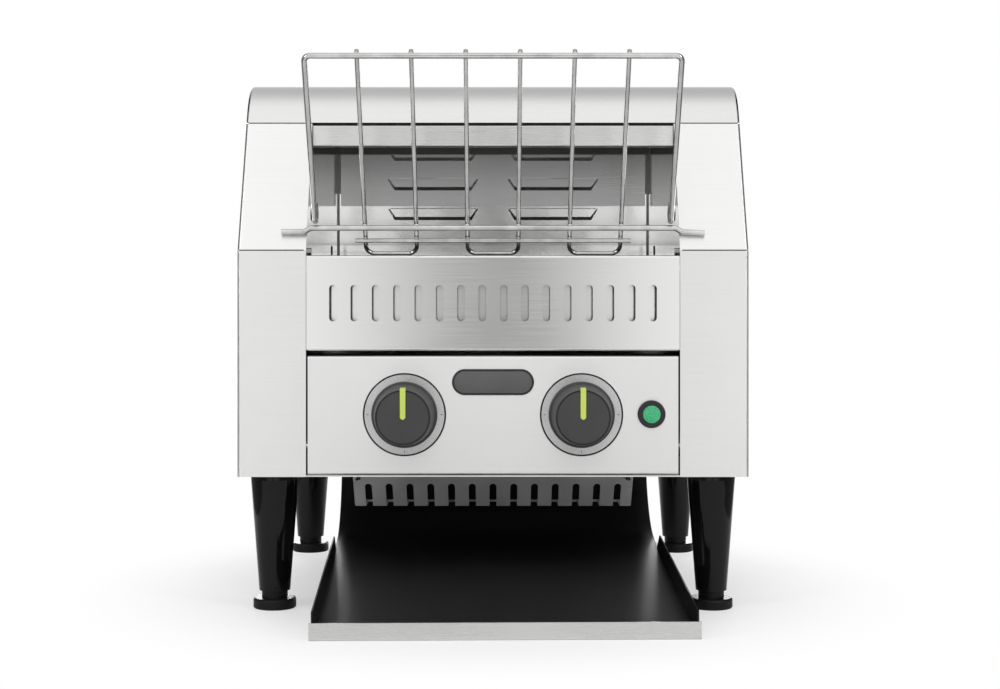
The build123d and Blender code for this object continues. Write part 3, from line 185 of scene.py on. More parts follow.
class Walls(Enum):
    """How a sheet's walls stand: the axis that the tangents of its brushing go round, and its turn."""

    FOLDED_ALONG_X = ("X", 0.0)
    STANDING_ROUND = ("Z", 0.25)


@dataclass(frozen=True)
class Finish:
    """A finish with one colour and one gloss, which others build on.

    Args:
        name: What the finish is, in a maker's words.
        colour: Its sRGB hex colour.
        roughness: How matt it is, from 0 to 1.
        metallic: 1 for bare metal, 0 for all else, and between them for a blasted or oxidised skin.
        spread: How far its pattern moves the roughness up and down, as a share of it.
    """

    name: str
    colour: str
    roughness: float
    metallic: float = 0.0
    spread: float = 0.15

    def material(self) -> bpy.types.Material:
        """Gives the finish's material, which is made the first time."""
        return bpy.data.materials.get(self.name) or self.build()

    def build(self) -> bpy.types.Material:
        """Makes the material with its shader in the finish's own colour.

        Returns:
            The new material, which the other finishes add their patterns to.
        """
        material = bpy.data.materials.new(self.name)
        material.use_nodes = True
        shader = self.shader(material)
        shader.inputs["Base Color"].default_value = linear(self.colour)
        shader.inputs["Roughness"].default_value = self.roughness
        shader.inputs["Metallic"].default_value = self.metallic
        return material

    def shader(self, material: bpy.types.Material) -> bpy.types.Node:
        """The shader node of a material."""
        return material.node_tree.nodes["Principled BSDF"]

    def place(self, tree: Tree, scale: tuple[float, ...], centre: tuple[float, ...] = (0, 0, 0)) -> Socket:
        """Gives the pattern's coordinates: the object's own, centred, and scaled to real sizes.

        Args:
            tree: The material's node tree.
            scale: Pattern repeats in a metre, along each axis.
            centre: Where the pattern's middle is, in metres.

        Returns:
            The output that carries the coordinates.
        """
        source = add(tree, "TexCoord", {}).outputs["Object"]
        shift = add(tree, "Mapping", {"Vector": source, "Location": tuple(-c for c in centre)})
        return add(tree, "Mapping", {"Vector": shift.outputs[0], "Scale": scale}).outputs[0]

    def noise(self, tree: Tree, sizes: tuple[float, float, float], detail: float = 2.0) -> Socket:
        """Adds noise whose patches have these sizes along the axes.

        Args:
            tree: The material's node tree.
            sizes: A patch's size along X, Y and Z, in metres.
            detail: How many finer layers it has.

        Returns:
            The output that carries the noise, from 0 to 1.
        """
        place = self.place(tree, tuple(1 / size for size in sizes))
        return add(tree, "TexNoise", {"Vector": place, "Scale": 1.0, "Detail": detail}).outputs[0]

    def tint(self, material: bpy.types.Material, pattern: Socket, shades: tuple[str, str]) -> None:
        """Lets a pattern from 0 to 1 blend two colours.

        Args:
            material: The material.
            pattern: The output that carries the pattern.
            shades: The hex colours at 0 and 1.
        """
        tree = material.node_tree
        ends = {"Factor": pattern, "A": linear(shades[0]), "B": linear(shades[1])}
        blend = add(tree, "Mix", ends, data_type="RGBA")
        tree.links.new(blend.outputs["Result"], self.shader(material).inputs["Base Color"])

    def dull(self, material: bpy.types.Material, pattern: Socket) -> None:
        """Lets a pattern from 0 to 1 move the roughness from below its middle to above it.

        Args:
            material: The material.
            pattern: The output that carries the pattern.
        """
        tree = material.node_tree
        low, high = self.roughness * (1 - self.spread), self.roughness * (1 + self.spread)
        gloss = add(tree, "MapRange", {"Value": pattern, "To Min": low, "To Max": high})
        tree.links.new(gloss.outputs[0], self.shader(material).inputs["Roughness"])

    def raise_skin(self, material: bpy.types.Material, patterns: list[tuple[Socket, float]]) -> None:
        """Lets patterns from 0 to 1 stand up from the surface, one on the other.

        Args:
            material: The material.
            patterns: For each pattern its output and its real height in metres.
        """
        tree, shader = material.node_tree, self.shader(material)
        for pattern, height in patterns:
            relief = add(tree, "Bump", {"Height": pattern, "Distance": height, "Strength": 1.0})
            if shader.inputs["Normal"].links:
                tree.links.new(shader.inputs["Normal"].links[0].from_socket, relief.inputs["Normal"])
            tree.links.new(relief.outputs[0], shader.inputs["Normal"])

    def stretch_along(self, material: bpy.types.Material, share: float, axis: str, turn: float) -> None:
        """Stretches the reflections, as scratches do.

        Args:
            material: The material.
            share: How far they are stretched, from 0 to 1.
            axis: The axis that the tangents go round.
            turn: How far the stretch is turned from the tangent, in whole turns.
        """
        shader = self.shader(material)
        tangent = add(material.node_tree, "Tangent", {}, direction_type="RADIAL", axis=axis)
        material.node_tree.links.new(tangent.outputs[0], shader.inputs["Tangent"])
        shader.inputs["Anisotropic"].default_value = share
        shader.inputs["Anisotropic Rotation"].default_value = turn


@dataclass(frozen=True)
class BrushedSteel(Finish):
    """Stainless sheet that was belt-brushed: fine scratches stretch its reflections across themselves.

    Args:
        shades: The hex colours that its clouds go between.
        walls: How the sheet's walls stand.
        stretch: How far reflections are stretched, from 0 to 1.
        depth: How deep a scratch band is, in metres.
        band: A scratch band's length along X and its width, in metres.
        cloud: How wide a cloud of the sheet is, in metres.
        contrast: The sums of both noises at which the darkest and the lightest shade are reached.
    """

    metallic: float = 1.0
    shades: tuple[str, str] = ("#E6E6E5", "#EFEFEE")
    walls: Walls = Walls.FOLDED_ALONG_X
    stretch: float = 0.6
    depth: float = 0.0003 * MM
    band: tuple[float, float] = (60 * MM, 0.5 * MM)
    cloud: float = 110 * MM
    contrast: tuple[float, float] = (0.6, 1.4)

    def build(self) -> bpy.types.Material:
        """Makes the material.

        Returns:
            The material, with long thin noise for the scratches and wide soft noise for the clouds.
        """
        material = super().build()
        tree = material.node_tree
        length, width = self.band
        scratches = self.noise(tree, (length, width, width))
        clouds = self.noise(tree, (self.cloud,) * 3, detail=3.0)
        both = add(tree, "Math", {0: scratches, 1: clouds}, operation="ADD").outputs[0]
        low, high = self.contrast
        clear = add(tree, "MapRange", {"Value": both, "From Min": low, "From Max": high}).outputs[0]
        self.tint(material, clear, self.shades)
        self.dull(material, clear)
        self.raise_skin(material, [(scratches, self.depth)])
        self.stretch_along(material, self.stretch, *self.walls.value)
        return material


@dataclass(frozen=True)
class TurnedSteel(Finish):
    """A steel face turned on a lathe: fine rings round its own axis, which points out of the front.

    Args:
        shades: The hex colours of a ring's two sides.
        centre: A point of the axis, in metres.
        ring: From one ring to the next, in metres. The real ones are finer and wouldn't show.
        stretch: How far reflections are stretched across the rings, from 0 to 1.
        depth: How deep a ring is, in metres.
    """

    metallic: float = 1.0
    shades: tuple[str, str] = ("#BEBEBE", "#D6D6D6")
    centre: tuple[float, ...] = (0, 0, 0)
    ring: float = 0.8 * MM
    stretch: float = 0.85
    depth: float = 0.002 * MM
    spread: float = 0.2

    def build(self) -> bpy.types.Material:
        """Makes the material.

        Returns:
            The material, whose wave texture is scaled so that it repeats from ring to ring.
        """
        material = super().build()
        tree = material.node_tree
        inputs = {"Vector": self.place(tree, (WAVE_REPEAT / self.ring,) * 3, self.centre), "Scale": 1.0}
        rings = add(tree, "TexWave", inputs, wave_type="RINGS", rings_direction="Y").outputs["Fac"]
        self.tint(material, rings, self.shades)
        self.dull(material, rings)
        self.raise_skin(material, [(rings, self.depth)])
        quarter_turn = 0.25
        self.stretch_along(material, self.stretch, "Y", quarter_turn)
        return material


@dataclass(frozen=True)
class CloudedMetal(Finish):
    """Bare metal with soft patches: polished, drawn, cast, sintered, blasted or stained by heat.

    Args:
        shades: The hex colours of the patches.
        patch: How wide a patch is, in metres.
        grit: How wide a grain of its skin is, in metres.
        relief: How far the skin stands up, in metres.
        contrast: The noise at which the darkest and the lightest shade are reached.
    """

    metallic: float = 1.0
    shades: tuple[str, str] = ("#B8B8B6", "#C6C6C4")
    patch: float = 40 * MM
    grit: float = 1.2 * MM
    relief: float = 0.004 * MM
    contrast: tuple[float, float] = (0.3, 0.7)
    spread: float = 0.2

    def build(self) -> bpy.types.Material:
        """Makes the material.

        Returns:
            The material, with wide noise for the patches and small noise for the skin.
        """
        material = super().build()
        tree = material.node_tree
        patches = self.noise(tree, (self.patch,) * 3, detail=4.0)
        low, high = self.contrast
        clear = add(tree, "MapRange", {"Value": patches, "From Min": low, "From Max": high}).outputs[0]
        self.tint(material, clear, self.shades)
        self.dull(material, clear)
        self.raise_skin(material, [(self.noise(tree, (self.grit,) * 3), self.relief)])
        return material


@dataclass(frozen=True)
class MouldedPlastic(Finish):
    """Moulded plastic or ceramic: a spark-eroded skin or a polished one, with slow sink marks.

    Args:
        shades: The hex colours of its patches.
        skin: How wide a bump of its skin is, in metres.
        relief: How high the skin stands, in metres.
        sink: How wide a sink mark is, in metres.
        sink_depth: How deep a sink mark is, in metres.
        gloss: The specular level, where 0.5 is a plain plastic's.
    """

    shades: tuple[str, str] = ("#343434", "#3C3C3C")
    skin: float = 0.6 * MM
    relief: float = 0.01 * MM
    sink: float = 18 * MM
    sink_depth: float = 0.05 * MM
    gloss: float = 0.5

    def build(self) -> bpy.types.Material:
        """Makes the material.

        Returns:
            The material, whose skin of small noise stands on sink marks of wide noise.
        """
        material = super().build()
        tree = material.node_tree
        slow = self.noise(tree, (self.sink,) * 3, detail=0.0)
        fine = self.noise(tree, (self.skin,) * 3)
        self.tint(material, slow, self.shades)
        self.dull(material, slow)
        self.raise_skin(material, [(slow, self.sink_depth), (fine, self.relief)])
        self.shader(material).inputs["Specular IOR Level"].default_value = self.gloss
        return material


@dataclass(frozen=True)
class ClearPlastic(Finish):
    """Coloured clear plastic, faintly lit from behind, whose moulded prisms scatter the light.

    Args:
        bright: The hex colour where a prism gathers the light.
        clearness: How much light passes, from 0 to 1.
        index: The refractive index.
        glow: How strongly it shines in its own colour.
        facet: How wide a moulded prism is, in metres.
        facet_depth: How deep the prisms are, in metres.
    """

    bright: str = "#7FE0B4"
    clearness: float = 0.5
    index: float = 1.49
    glow: float = 0.0
    facet: float = 1.4 * MM
    facet_depth: float = 0.12 * MM
    spread: float = 0.1

    def build(self) -> bpy.types.Material:
        """Makes the material.

        Returns:
            The material, with cell noise for the prisms.
        """
        material = super().build()
        tree, shader = material.node_tree, self.shader(material)
        place = self.place(tree, (1 / self.facet,) * 3)
        cells = add(tree, "TexVoronoi", {"Vector": place, "Scale": 1.0}).outputs["Distance"]
        self.raise_skin(material, [(cells, self.facet_depth)])
        self.tint(material, cells, (self.colour, self.bright))
        self.dull(material, cells)
        shader.inputs["Transmission Weight"].default_value = self.clearness
        shader.inputs["IOR"].default_value = self.index
        shader.inputs["Emission Color"].default_value = linear(self.colour)
        shader.inputs["Emission Strength"].default_value = self.glow
        return material


@dataclass(frozen=True)
class QuartzGlass(Finish):
    """Satin quartz tube: milky, with fine draw lines along it.

    Args:
        line: A draw line's length and its width, in metres.
        clearness: How much light passes, from 0 to 1.
        index: The refractive index.
    """

    line: tuple[float, float] = (120 * MM, 1.1 * MM)
    clearness: float = 0.85
    index: float = 1.46
    spread: float = 0.3

    def build(self) -> bpy.types.Material:
        """Makes the material.

        Returns:
            The material, whose noise is drawn out along X and roughens the clear glass.
        """
        material = super().build()
        shader = self.shader(material)
        length, width = self.line
        self.dull(material, self.noise(material.node_tree, (length, width, width)))
        shader.inputs["Transmission Weight"].default_value = self.clearness
        shader.inputs["IOR"].default_value = self.index
        return material


@dataclass(frozen=True)
class BoardLaminate(Finish):
    """Glass-cloth circuit board under green solder mask: the cloth's weave shows faintly.

    Args:
        shades: The hex colours between the threads and on them.
        thread: From one thread of the cloth to the next, in metres.
        relief: How far a thread stands up, in metres.
    """

    shades: tuple[str, str] = ("#1C4A2A", "#245C36")
    thread: float = 0.9 * MM
    relief: float = 0.01 * MM
    spread: float = 0.1

    def build(self) -> bpy.types.Material:
        """Makes the material.

        Returns:
            The material, where two crossed sets of bands are the cloth's threads.
        """
        material = super().build()
        tree = material.node_tree
        inputs = {"Vector": self.place(tree, (WAVE_REPEAT / self.thread,) * 3), "Scale": 1.0}
        weft, warp = (add(tree, "TexWave", inputs, bands_direction=way).outputs["Fac"] for way in "XZ")
        cloth = add(tree, "Math", {0: weft, 1: warp}, operation="MULTIPLY").outputs[0]
        self.tint(material, cloth, self.shades)
        self.dull(material, cloth)
        self.raise_skin(material, [(cloth, self.relief)])
        return material


@dataclass(frozen=True)
class Finishes:
    """The finishes of the toaster, each named for the real stuff, with what it gives the eye."""

    # Satin-brushed stainless of the housing: pale, with soft reflections drawn out upright.
    cover: Finish = BrushedSteel(
        "satin_brushed_stainless", "#EAEAE9", 0.34, walls=Walls.STANDING_ROUND, stretch=0.5
    )
    # The same sheet on the lid, the lintel and the lip, where the bends turn light into grey bands.
    lid: Finish = BrushedSteel(
        "satin_brushed_stainless_lid", "#DEDEDD", 0.28, shades=("#DADAD9", "#E2E2E1"), depth=0.0002 * MM
    )
    # The front panels are brushed more finely, so they mirror the room as soft upright bands.
    panel: Finish = BrushedSteel(
        "fine_brushed_stainless",
        "#EAEAE9",
        0.2,
        shades=("#E6E6E5", "#EDEDEC"),
        walls=Walls.STANDING_ROUND,
        stretch=0.85,
    )
    # The control panel's sheet has a scratch grain too fine to mirror anything, so it is even.
    control: Finish = BrushedSteel(
        "matt_brushed_stainless",
        "#EEEEED",
        0.42,
        shades=("#EBEBEA", "#F0F0EF"),
        walls=Walls.STANDING_ROUND,
    )
    # Bright-rolled sheet that has been hot: a clear mirror with soft clouds.
    chamber: Finish = CloudedMetal(
        "bright_rolled_stainless", "#E4E4E2", 0.1, shades=("#DCDCDA", "#EAEAE8"), relief=0.001 * MM
    )
    # The deflector is polished, and its own light skin spreads what it mirrors a little.
    deflector: Finish = CloudedMetal(
        "polished_stainless", "#FAFAF8", 0.12, shades=("#F6F6F4", "#FCFCFB"), relief=0.001 * MM
    )
    # The louvred plate is the same sheet dulled by heat, so it stays an even mid grey.
    louvred: Finish = BrushedSteel(
        "heat_dulled_stainless", "#DADADA", 0.3, shades=("#D0D0D0", "#E0E0E0"), stretch=0.4
    )
    # Brown-black, swallowing the light over the mouth: painted shade on the heater box, dark oxide on the
    # coils.
    dark: Finish = CloudedMetal("oxide_and_painted_shade_steel", "#605E5C", 0.42, shades=("#565452", "#6C6A68"))
    # Glass-blasted sheet of the guard: no mirror, only an even grey with a dim sheen.
    guard: Finish = CloudedMetal(
        "blasted_stainless", "#D6D6D6", 0.62, metallic=0.3, shades=("#D2D2D2", "#DEDEDE")
    )
    # Polished wire, with a bright core and dark edges along every rod.
    wire: Finish = CloudedMetal(
        "polished_stainless_wire", "#CFCFCE", 0.14, shades=("#BEBEBD", "#D8D8D7"), patch=12 * MM
    )
    # Drawn wire and plates of the belt and the chain, duller and a little brown.
    belt: Finish = CloudedMetal(
        "drawn_stainless_wire", "#A5A4A2", 0.28, shades=("#94938F", "#B2B1AE"), patch=15 * MM
    )
    # Turned and ground steel of shafts, sprockets and wheels: grey with a clean sheen.
    shaft: Finish = CloudedMetal(
        "ground_steel", "#A2A2A2", 0.25, shades=("#969696", "#B0B0B0"), patch=6 * MM
    )
    # Oil-soaked sintered bronze, brown and grainy.
    bronze: Finish = CloudedMetal(
        "sintered_bronze",
        "#8A6A3A",
        0.42,
        shades=("#7A5C30", "#9A7846"),
        patch=4 * MM,
        grit=0.5 * MM,
        relief=0.02 * MM,
    )
    # Die-cast aluminium of the gear motor, with a fine pebbled skin.
    cast: Finish = CloudedMetal(
        "die_cast_aluminium",
        "#9A9B9C",
        0.4,
        shades=("#8E8F90", "#A6A7A8"),
        grit=0.9 * MM,
        relief=0.02 * MM,
    )
    # Zinc-plated screws, grey with a yellowish tinge.
    screw: Finish = CloudedMetal(
        "zinc_plated_steel", "#A6A6A2", 0.24, shades=("#969692", "#B4B4AE"), patch=3 * MM
    )
    # Baked non-stick coating of the slide: black satin with a low orange peel, bright at a low angle.
    coating: Finish = MouldedPlastic(
        "baked_non_stick_coating",
        "#141414",
        0.31,
        shades=("#111111", "#171717"),
        skin=1.6 * MM,
        relief=0.001 * MM,
        sink=90 * MM,
        gloss=0.4,
    )
    # Spark-eroded polyamide of the knobs, a soft dark grey.
    knob: Finish = MouldedPlastic(
        "eroded_polyamide", "#454545", 0.42, shades=("#414141", "#494949"), gloss=0.2
    )
    # Lime strip of the pointers, matt and even.
    pointer: Finish = MouldedPlastic(
        "lime_moulded_strip", "#CDDC64", 0.4, shades=("#C6D65A", "#D2E06C")
    )
    # Printed face of the badge, dark grey under a clear film.
    badge: Finish = MouldedPlastic(
        "printed_polycarbonate", "#575757", 0.36, shades=("#535353", "#5B5B5B")
    )
    # Glossy black nylon of the lamp's bezel and the badge's rim.
    bezel: Finish = MouldedPlastic("glossy_black_nylon", "#161616", 0.24, shades=("#121212", "#1A1A1A"))
    # Polished phenolic legs: black, with sink marks that make the streaks of light waver.
    leg: Finish = MouldedPlastic(
        "polished_phenolic",
        "#0B0B0B",
        0.07,
        shades=("#080808", "#0E0E0E"),
        relief=0.0,
        sink=26 * MM,
        sink_depth=0.7 * MM,
        gloss=0.26,
    )
    # Feet and gland, a black that is duller than the legs'.
    foot: Finish = MouldedPlastic(
        "moulded_black_polyamide", "#141414", 0.45, shades=("#101010", "#181818"), gloss=0.2
    )
    # Housing of the selector switch.
    switch: Finish = MouldedPlastic(
        "moulded_switch_housing", "#26262A", 0.5, shades=("#222226", "#2C2C30")
    )
    # Ivory polyamide of the terminal block.
    terminal: Finish = MouldedPlastic(
        "moulded_ivory_polyamide", "#DAD8CC", 0.5, shades=("#D2D0C4", "#E0DED2")
    )
    # Fan plastic, a dull black.
    fan: Finish = MouldedPlastic("moulded_fan_plastic", "#1B1B1B", 0.45, shades=("#181818", "#202020"))
    # Fired steatite end caps, cream and grainy.
    ceramic: Finish = MouldedPlastic(
        "fired_steatite", "#E2D9C6", 0.6, shades=("#D8CEBA", "#E8E0CE"), relief=0.03 * MM
    )
    # Green lens, lit from behind, that shines brightest in its middle.
    lens: Finish = ClearPlastic("green_clear_polycarbonate", "#17A868", 0.14, glow=0.35)
    # Satin quartz, milky with the coil showing through.
    quartz: Finish = QuartzGlass("satin_quartz", "#F2F2EE", 0.24)
    # Green circuit board.
    board: Finish = BoardLaminate("glass_cloth_laminate", "#205230", 0.35)


# ------------------------------------------------------------------------------ pieces and sub-assemblies


@dataclass
class Piece:
    """A new surface of the toaster, on its way to becoming an object.

    Args:
        name: The object's name.
        grids: Points as (copies, rows, columns, 3), in metres, whose columns go right round.
        body: The body that it rides on.
        slot: The record's material slot that it stands for; it is not used.
        finish: Its finish.
        sharp: The angle in degrees above which an edge stays crisp.
    """

    name: str
    grids: np.ndarray
    body: str
    slot: str
    finish: Finish
    sharp: float = 40.0

    def build(self) -> bpy.types.Object:
        """Makes the object: welds poles and seams, turns the faces outwards and shades it smooth.

        Returns:
            The finished object, riding on its body.
        """
        copies, rows, columns, _ = self.grids.shape
        starts = np.arange(copies)[:, None, None] * rows * columns
        quads = (grid_quads(rows, columns) + starts).reshape(-1, 4)
        mesh = bpy.data.meshes.new(self.name)
        mesh.from_pydata(self.grids.reshape(-1, 3).tolist(), [], quads.tolist())
        shape = bmesh.new()
        shape.from_mesh(mesh)
        bmesh.ops.remove_doubles(shape, verts=shape.verts, dist=0.002 * MM)
        bmesh.ops.dissolve_degenerate(shape, edges=shape.edges, dist=0.001 * MM)
        bmesh.ops.recalc_face_normals(shape, faces=shape.faces)
        shape.to_mesh(mesh)
        shape.free()
        mesh.shade_smooth()
        mesh.set_sharp_from_angle(angle=math.radians(self.sharp))
        piece = bpy.data.objects.new(self.name, mesh)
        bpy.context.scene.collection.objects.link(piece)
        mesh.materials.append(self.finish.material())
        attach(piece, self.body)
        LOG.info("piece %s: %d faces on %s", self.name, len(mesh.polygons), self.body)
        return piece


@dataclass
class PanHeads:
    """A row of pan-head screws with a cross recess: the dome's height minus two crossing grooves.

    Args:
        name: The object's name.
        places: Where each head meets its sheet.
        outward: The way each head points.
        radius: The head's radius.
        height: The head's height.
        finish: Their finish.
        arm: How far from a groove's middle line its wall starts and ends, as shares of the radius.
        recess: How deep the grooves are, as a share of the height.
        reach: Where the grooves start and stop running out, as shares of the radius.
        dome: How much of a full dome a head is, and the power that flattens its top.
        steps: How many points go round a head, and how many from its edge to its middle.
    """

    name: str
    places: np.ndarray
    outward: np.ndarray
    radius: float
    height: float
    finish: Finish
    arm: tuple[float, float] = (0.112, 0.208)
    recess: float = 0.55
    reach: tuple[float, float] = (0.5, 0.68)
    dome: tuple[float, float] = (0.92, 0.4)
    steps: tuple[int, int] = (64, 22)

    def build(self) -> bpy.types.Object:
        """Makes the heads in one object.

        Returns:
            The object, riding on the chassis.
        """
        around, inwards = self.steps
        angles = circle(around)
        shares = np.array([1.0, *np.linspace(1.0, 0.0, inwards)])[:, None]
        across, up = shares * np.cos(angles), shares * np.sin(angles)
        bulge, flatness = self.dome
        dome = (1 - (shares * bulge) ** 2) ** flatness
        narrow = np.minimum(np.abs(across), np.abs(up))
        groove = (1 - smoothstep(*self.arm, narrow)) * (1 - smoothstep(*self.reach, shares))
        rise = (dome - groove * self.recess) * self.height
        rise[0] = 0.0
        level = np.array((0.0, 0.0, 1.0))
        sides = np.cross(level, self.outward)
        sides /= np.linalg.norm(sides, axis=1, keepdims=True)
        ways = (sides, np.cross(self.outward, sides), self.outward)
        parts = (across * self.radius, up * self.radius, rise)
        grid = sum(way[:, None, None, :] * part[None, :, :, None] for way, part in zip(ways, parts))
        base = np.zeros((len(self.places), 1, len(angles), 3))
        grid = np.concatenate((base, grid), axis=1) + self.places[:, None, None, :]
        return Piece(self.name, grid, "chassis", "screw_steel", self.finish, sharp=30).build()


@dataclass
class SubAssembly:
    """A sub-assembly of the toaster, which finishes its own solids and may add pieces to them.

    Args:
        finishes: The toaster's finishes.
    """

    finishes: Finishes
    # The names of the solids that get each finish.
    solids: ClassVar[dict[str, list[str]]] = {}

    def dress(self) -> set[str]:
        """Gives its solids their finishes.

        Returns:
            The names of the solids.
        """
        names: set[str] = set()
        for finish, nodes in self.solids.items():
            for node in nodes:
                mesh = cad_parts[node].data
                mesh.materials.clear()
                mesh.materials.append(getattr(self.finishes, finish).material())
            names.update(nodes)
        LOG.info("%s: %d solids dressed", type(self).__name__, len(names))
        return names

    def build(self) -> None:
        """Adds no pieces, unless a sub-assembly has its own."""


@dataclass
class Housing(SubAssembly):
    """The sheets that show from outside, and the screws of the back.

    Args:
        screw_radius: The radius of a back screw's head.
        screw_sides: How far the outer screws are from the middle.
        screw_heights: The heights of the outer screws, the highest of which is that of the top row.
        screw_top: How far the screws of the top row are from the middle.
    """

    screw_radius: float = 3.4 * MM
    screw_sides: float = 176 * MM
    screw_heights: tuple[float, ...] = (112 * MM, 228 * MM, 346 * MM)
    screw_top: float = 60 * MM
    solids: ClassVar[dict[str, list[str]]] = {
        "cover": ["left_side_cover", "right_side_cover", "back_cover", "base_pan"],
        "lid": ["top_cover", "mouth_lintel"],
        "panel": ["slotted_front_panel", "front_heat_shield"],
        "screw": ["back_screws"],
    }

    def build(self) -> None:
        """Makes the heads of the back screws."""
        low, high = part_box("back_screws")
        rows = [(self.screw_sides, height) for height in self.screw_heights]
        rows.append((self.screw_top, self.screw_heights[-1]))
        places = np.array([(side * x, low.y, height) for side in (-1, 1) for x, height in rows])
        outward = np.tile((0.0, 1.0, 0.0), (len(places), 1))
        size = (self.screw_radius, high.y - low.y)
        heads = PanHeads("back_screw_heads", places, outward, *size, self.finishes.screw)
        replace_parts(heads.build(), "back_screws")


@dataclass
class Chamber(SubAssembly):
    """The toasting chamber: its sheets, its heaters with their coils, and a screw in each wall.

    Args:
        tubes: Each heater tube's depth behind the front and its height.
        coil: The coil's radius and the radius of its wire.
        pitch: From one turn of the coil to the next.
        half_length: How far a coil reaches from the middle.
        steps: How many points each turn of the coil has, and how many go round its wire.
        screw: The radius and the height of a wall screw's head.
    """

    tubes: tuple[tuple[float, float], ...] = tuple(
        (depth * MM, height * MM) for height in (356.0, 235.5) for depth in (85.0, 121.0, 157.0)
    )
    coil: tuple[float, float] = (3 * MM, 0.4 * MM)
    pitch: float = 4 * MM
    half_length: float = 120 * MM
    steps: tuple[int, int] = (12, 5)
    screw: tuple[float, float] = (2.9 * MM, 2.0 * MM)
    solids: ClassVar[dict[str, list[str]]] = {
        "chamber": ["left_inner_wall", "right_inner_wall", "lower_reflector"],
        "deflector": ["rear_deflector"],
        "louvred": ["louvred_rear_plate"],
        # The heater box's reflector is painted dark: painted shade over the mouth.
        "dark": ["upper_reflector"],
        "quartz": ["heater_tubes"],
        "ceramic": ["heater_end_caps"],
        "screw": ["chamber_screws"],
    }

    def coils(self) -> None:
        """Makes the heating wires: a small circle in a plane through the axis is screwed round it."""
        radius, wire = self.coil
        per_turn, around = self.steps
        turns = 2 * self.half_length / self.pitch
        turn = np.linspace(0, 2 * np.pi * turns, int(turns * per_turn))[:, None]
        reach = radius + wire * np.cos(circle(around))
        x = -self.half_length + turn / (2 * np.pi) * self.pitch + wire * np.sin(circle(around))
        coil = closed_ends(np.stack((x, reach * np.cos(turn), reach * np.sin(turn)), axis=-1))
        middles = np.array([(0.0, front_y() + depth, height) for depth, height in self.tubes])
        grids = coil[None] + middles[:, None, None, :]
        Piece("heater_coils", grids, "chassis", "shaft_steel", self.finishes.dark).build()

    def screws(self) -> None:
        """Makes the heads of the wall screws."""
        low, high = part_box("chamber_screws")
        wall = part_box("right_inner_wall")[0].x
        depth, height = (low.y + high.y) / 2, (low.z + high.z) / 2
        places = np.array([(side * wall, depth, height) for side in (-1, 1)])
        outward = np.array([(-side, 0.0, 0.0) for side in (-1.0, 1.0)])
        PanHeads("chamber_screw_heads", places, outward, *self.screw, self.finishes.screw).build()

    def build(self) -> None:
        """Makes the coils and the wall screws."""
        self.coils()
        self.screws()


@dataclass
class Drive(SubAssembly):
    """The conveyor and what drives it: belt, shafts, sprockets, chain, wheels and gear motor."""

    solids: ClassVar[dict[str, list[str]]] = {
        "belt": ["conveyor_belt", "drive_chain"],
        "shaft": ["front_shaft", "drive_shaft", "front_sprockets", "drive_sprockets"]
        + ["shaft_chain_wheel", "motor_chain_wheel", "motor_shaft"],
        "bronze": ["shaft_bushes"],
        "cast": ["gear_motor"],
        "guard": ["motor_bracket"],
    }


# ------------------------------------------------------------------------------ controls


def strip_along(
    path: np.ndarray,
    widths: np.ndarray,
    thickness: float,
    powers: tuple[float, float] = (0.3, 0.5),
    steps: int = 28,
) -> np.ndarray:
    """Carries a flat strip along a path in the plane of X = 0, with its thickness off the path.

    The section is a superellipse, and both ends are closed.

    Args:
        path: Points as (outwards, upwards), in metres.
        widths: The strip's width along X at each point.
        thickness: How thick it is.
        powers: The powers of the superellipse's cosine and sine, where 1 is round and 0 is square.
        steps: How many points go round the section.

    Returns:
        Points as (rows, columns, 3), in X, outwards and upwards.
    """
    cosine, sine = np.cos(circle(steps)), np.sin(circle(steps))
    across = widths[:, None] / 2 * np.sign(cosine) * np.abs(cosine) ** powers[0]
    off = thickness / 2 * np.sign(sine) * np.abs(sine) ** powers[1]
    run = np.gradient(path, axis=0)
    run /= np.linalg.norm(run, axis=1, keepdims=True)
    normal = np.stack((-run[:, 1], run[:, 0]), axis=1)
    flat = path[:, None, :] + normal[:, None, :] * off[None, :, None]
    return closed_ends(np.concatenate((across[..., None], flat), axis=2))


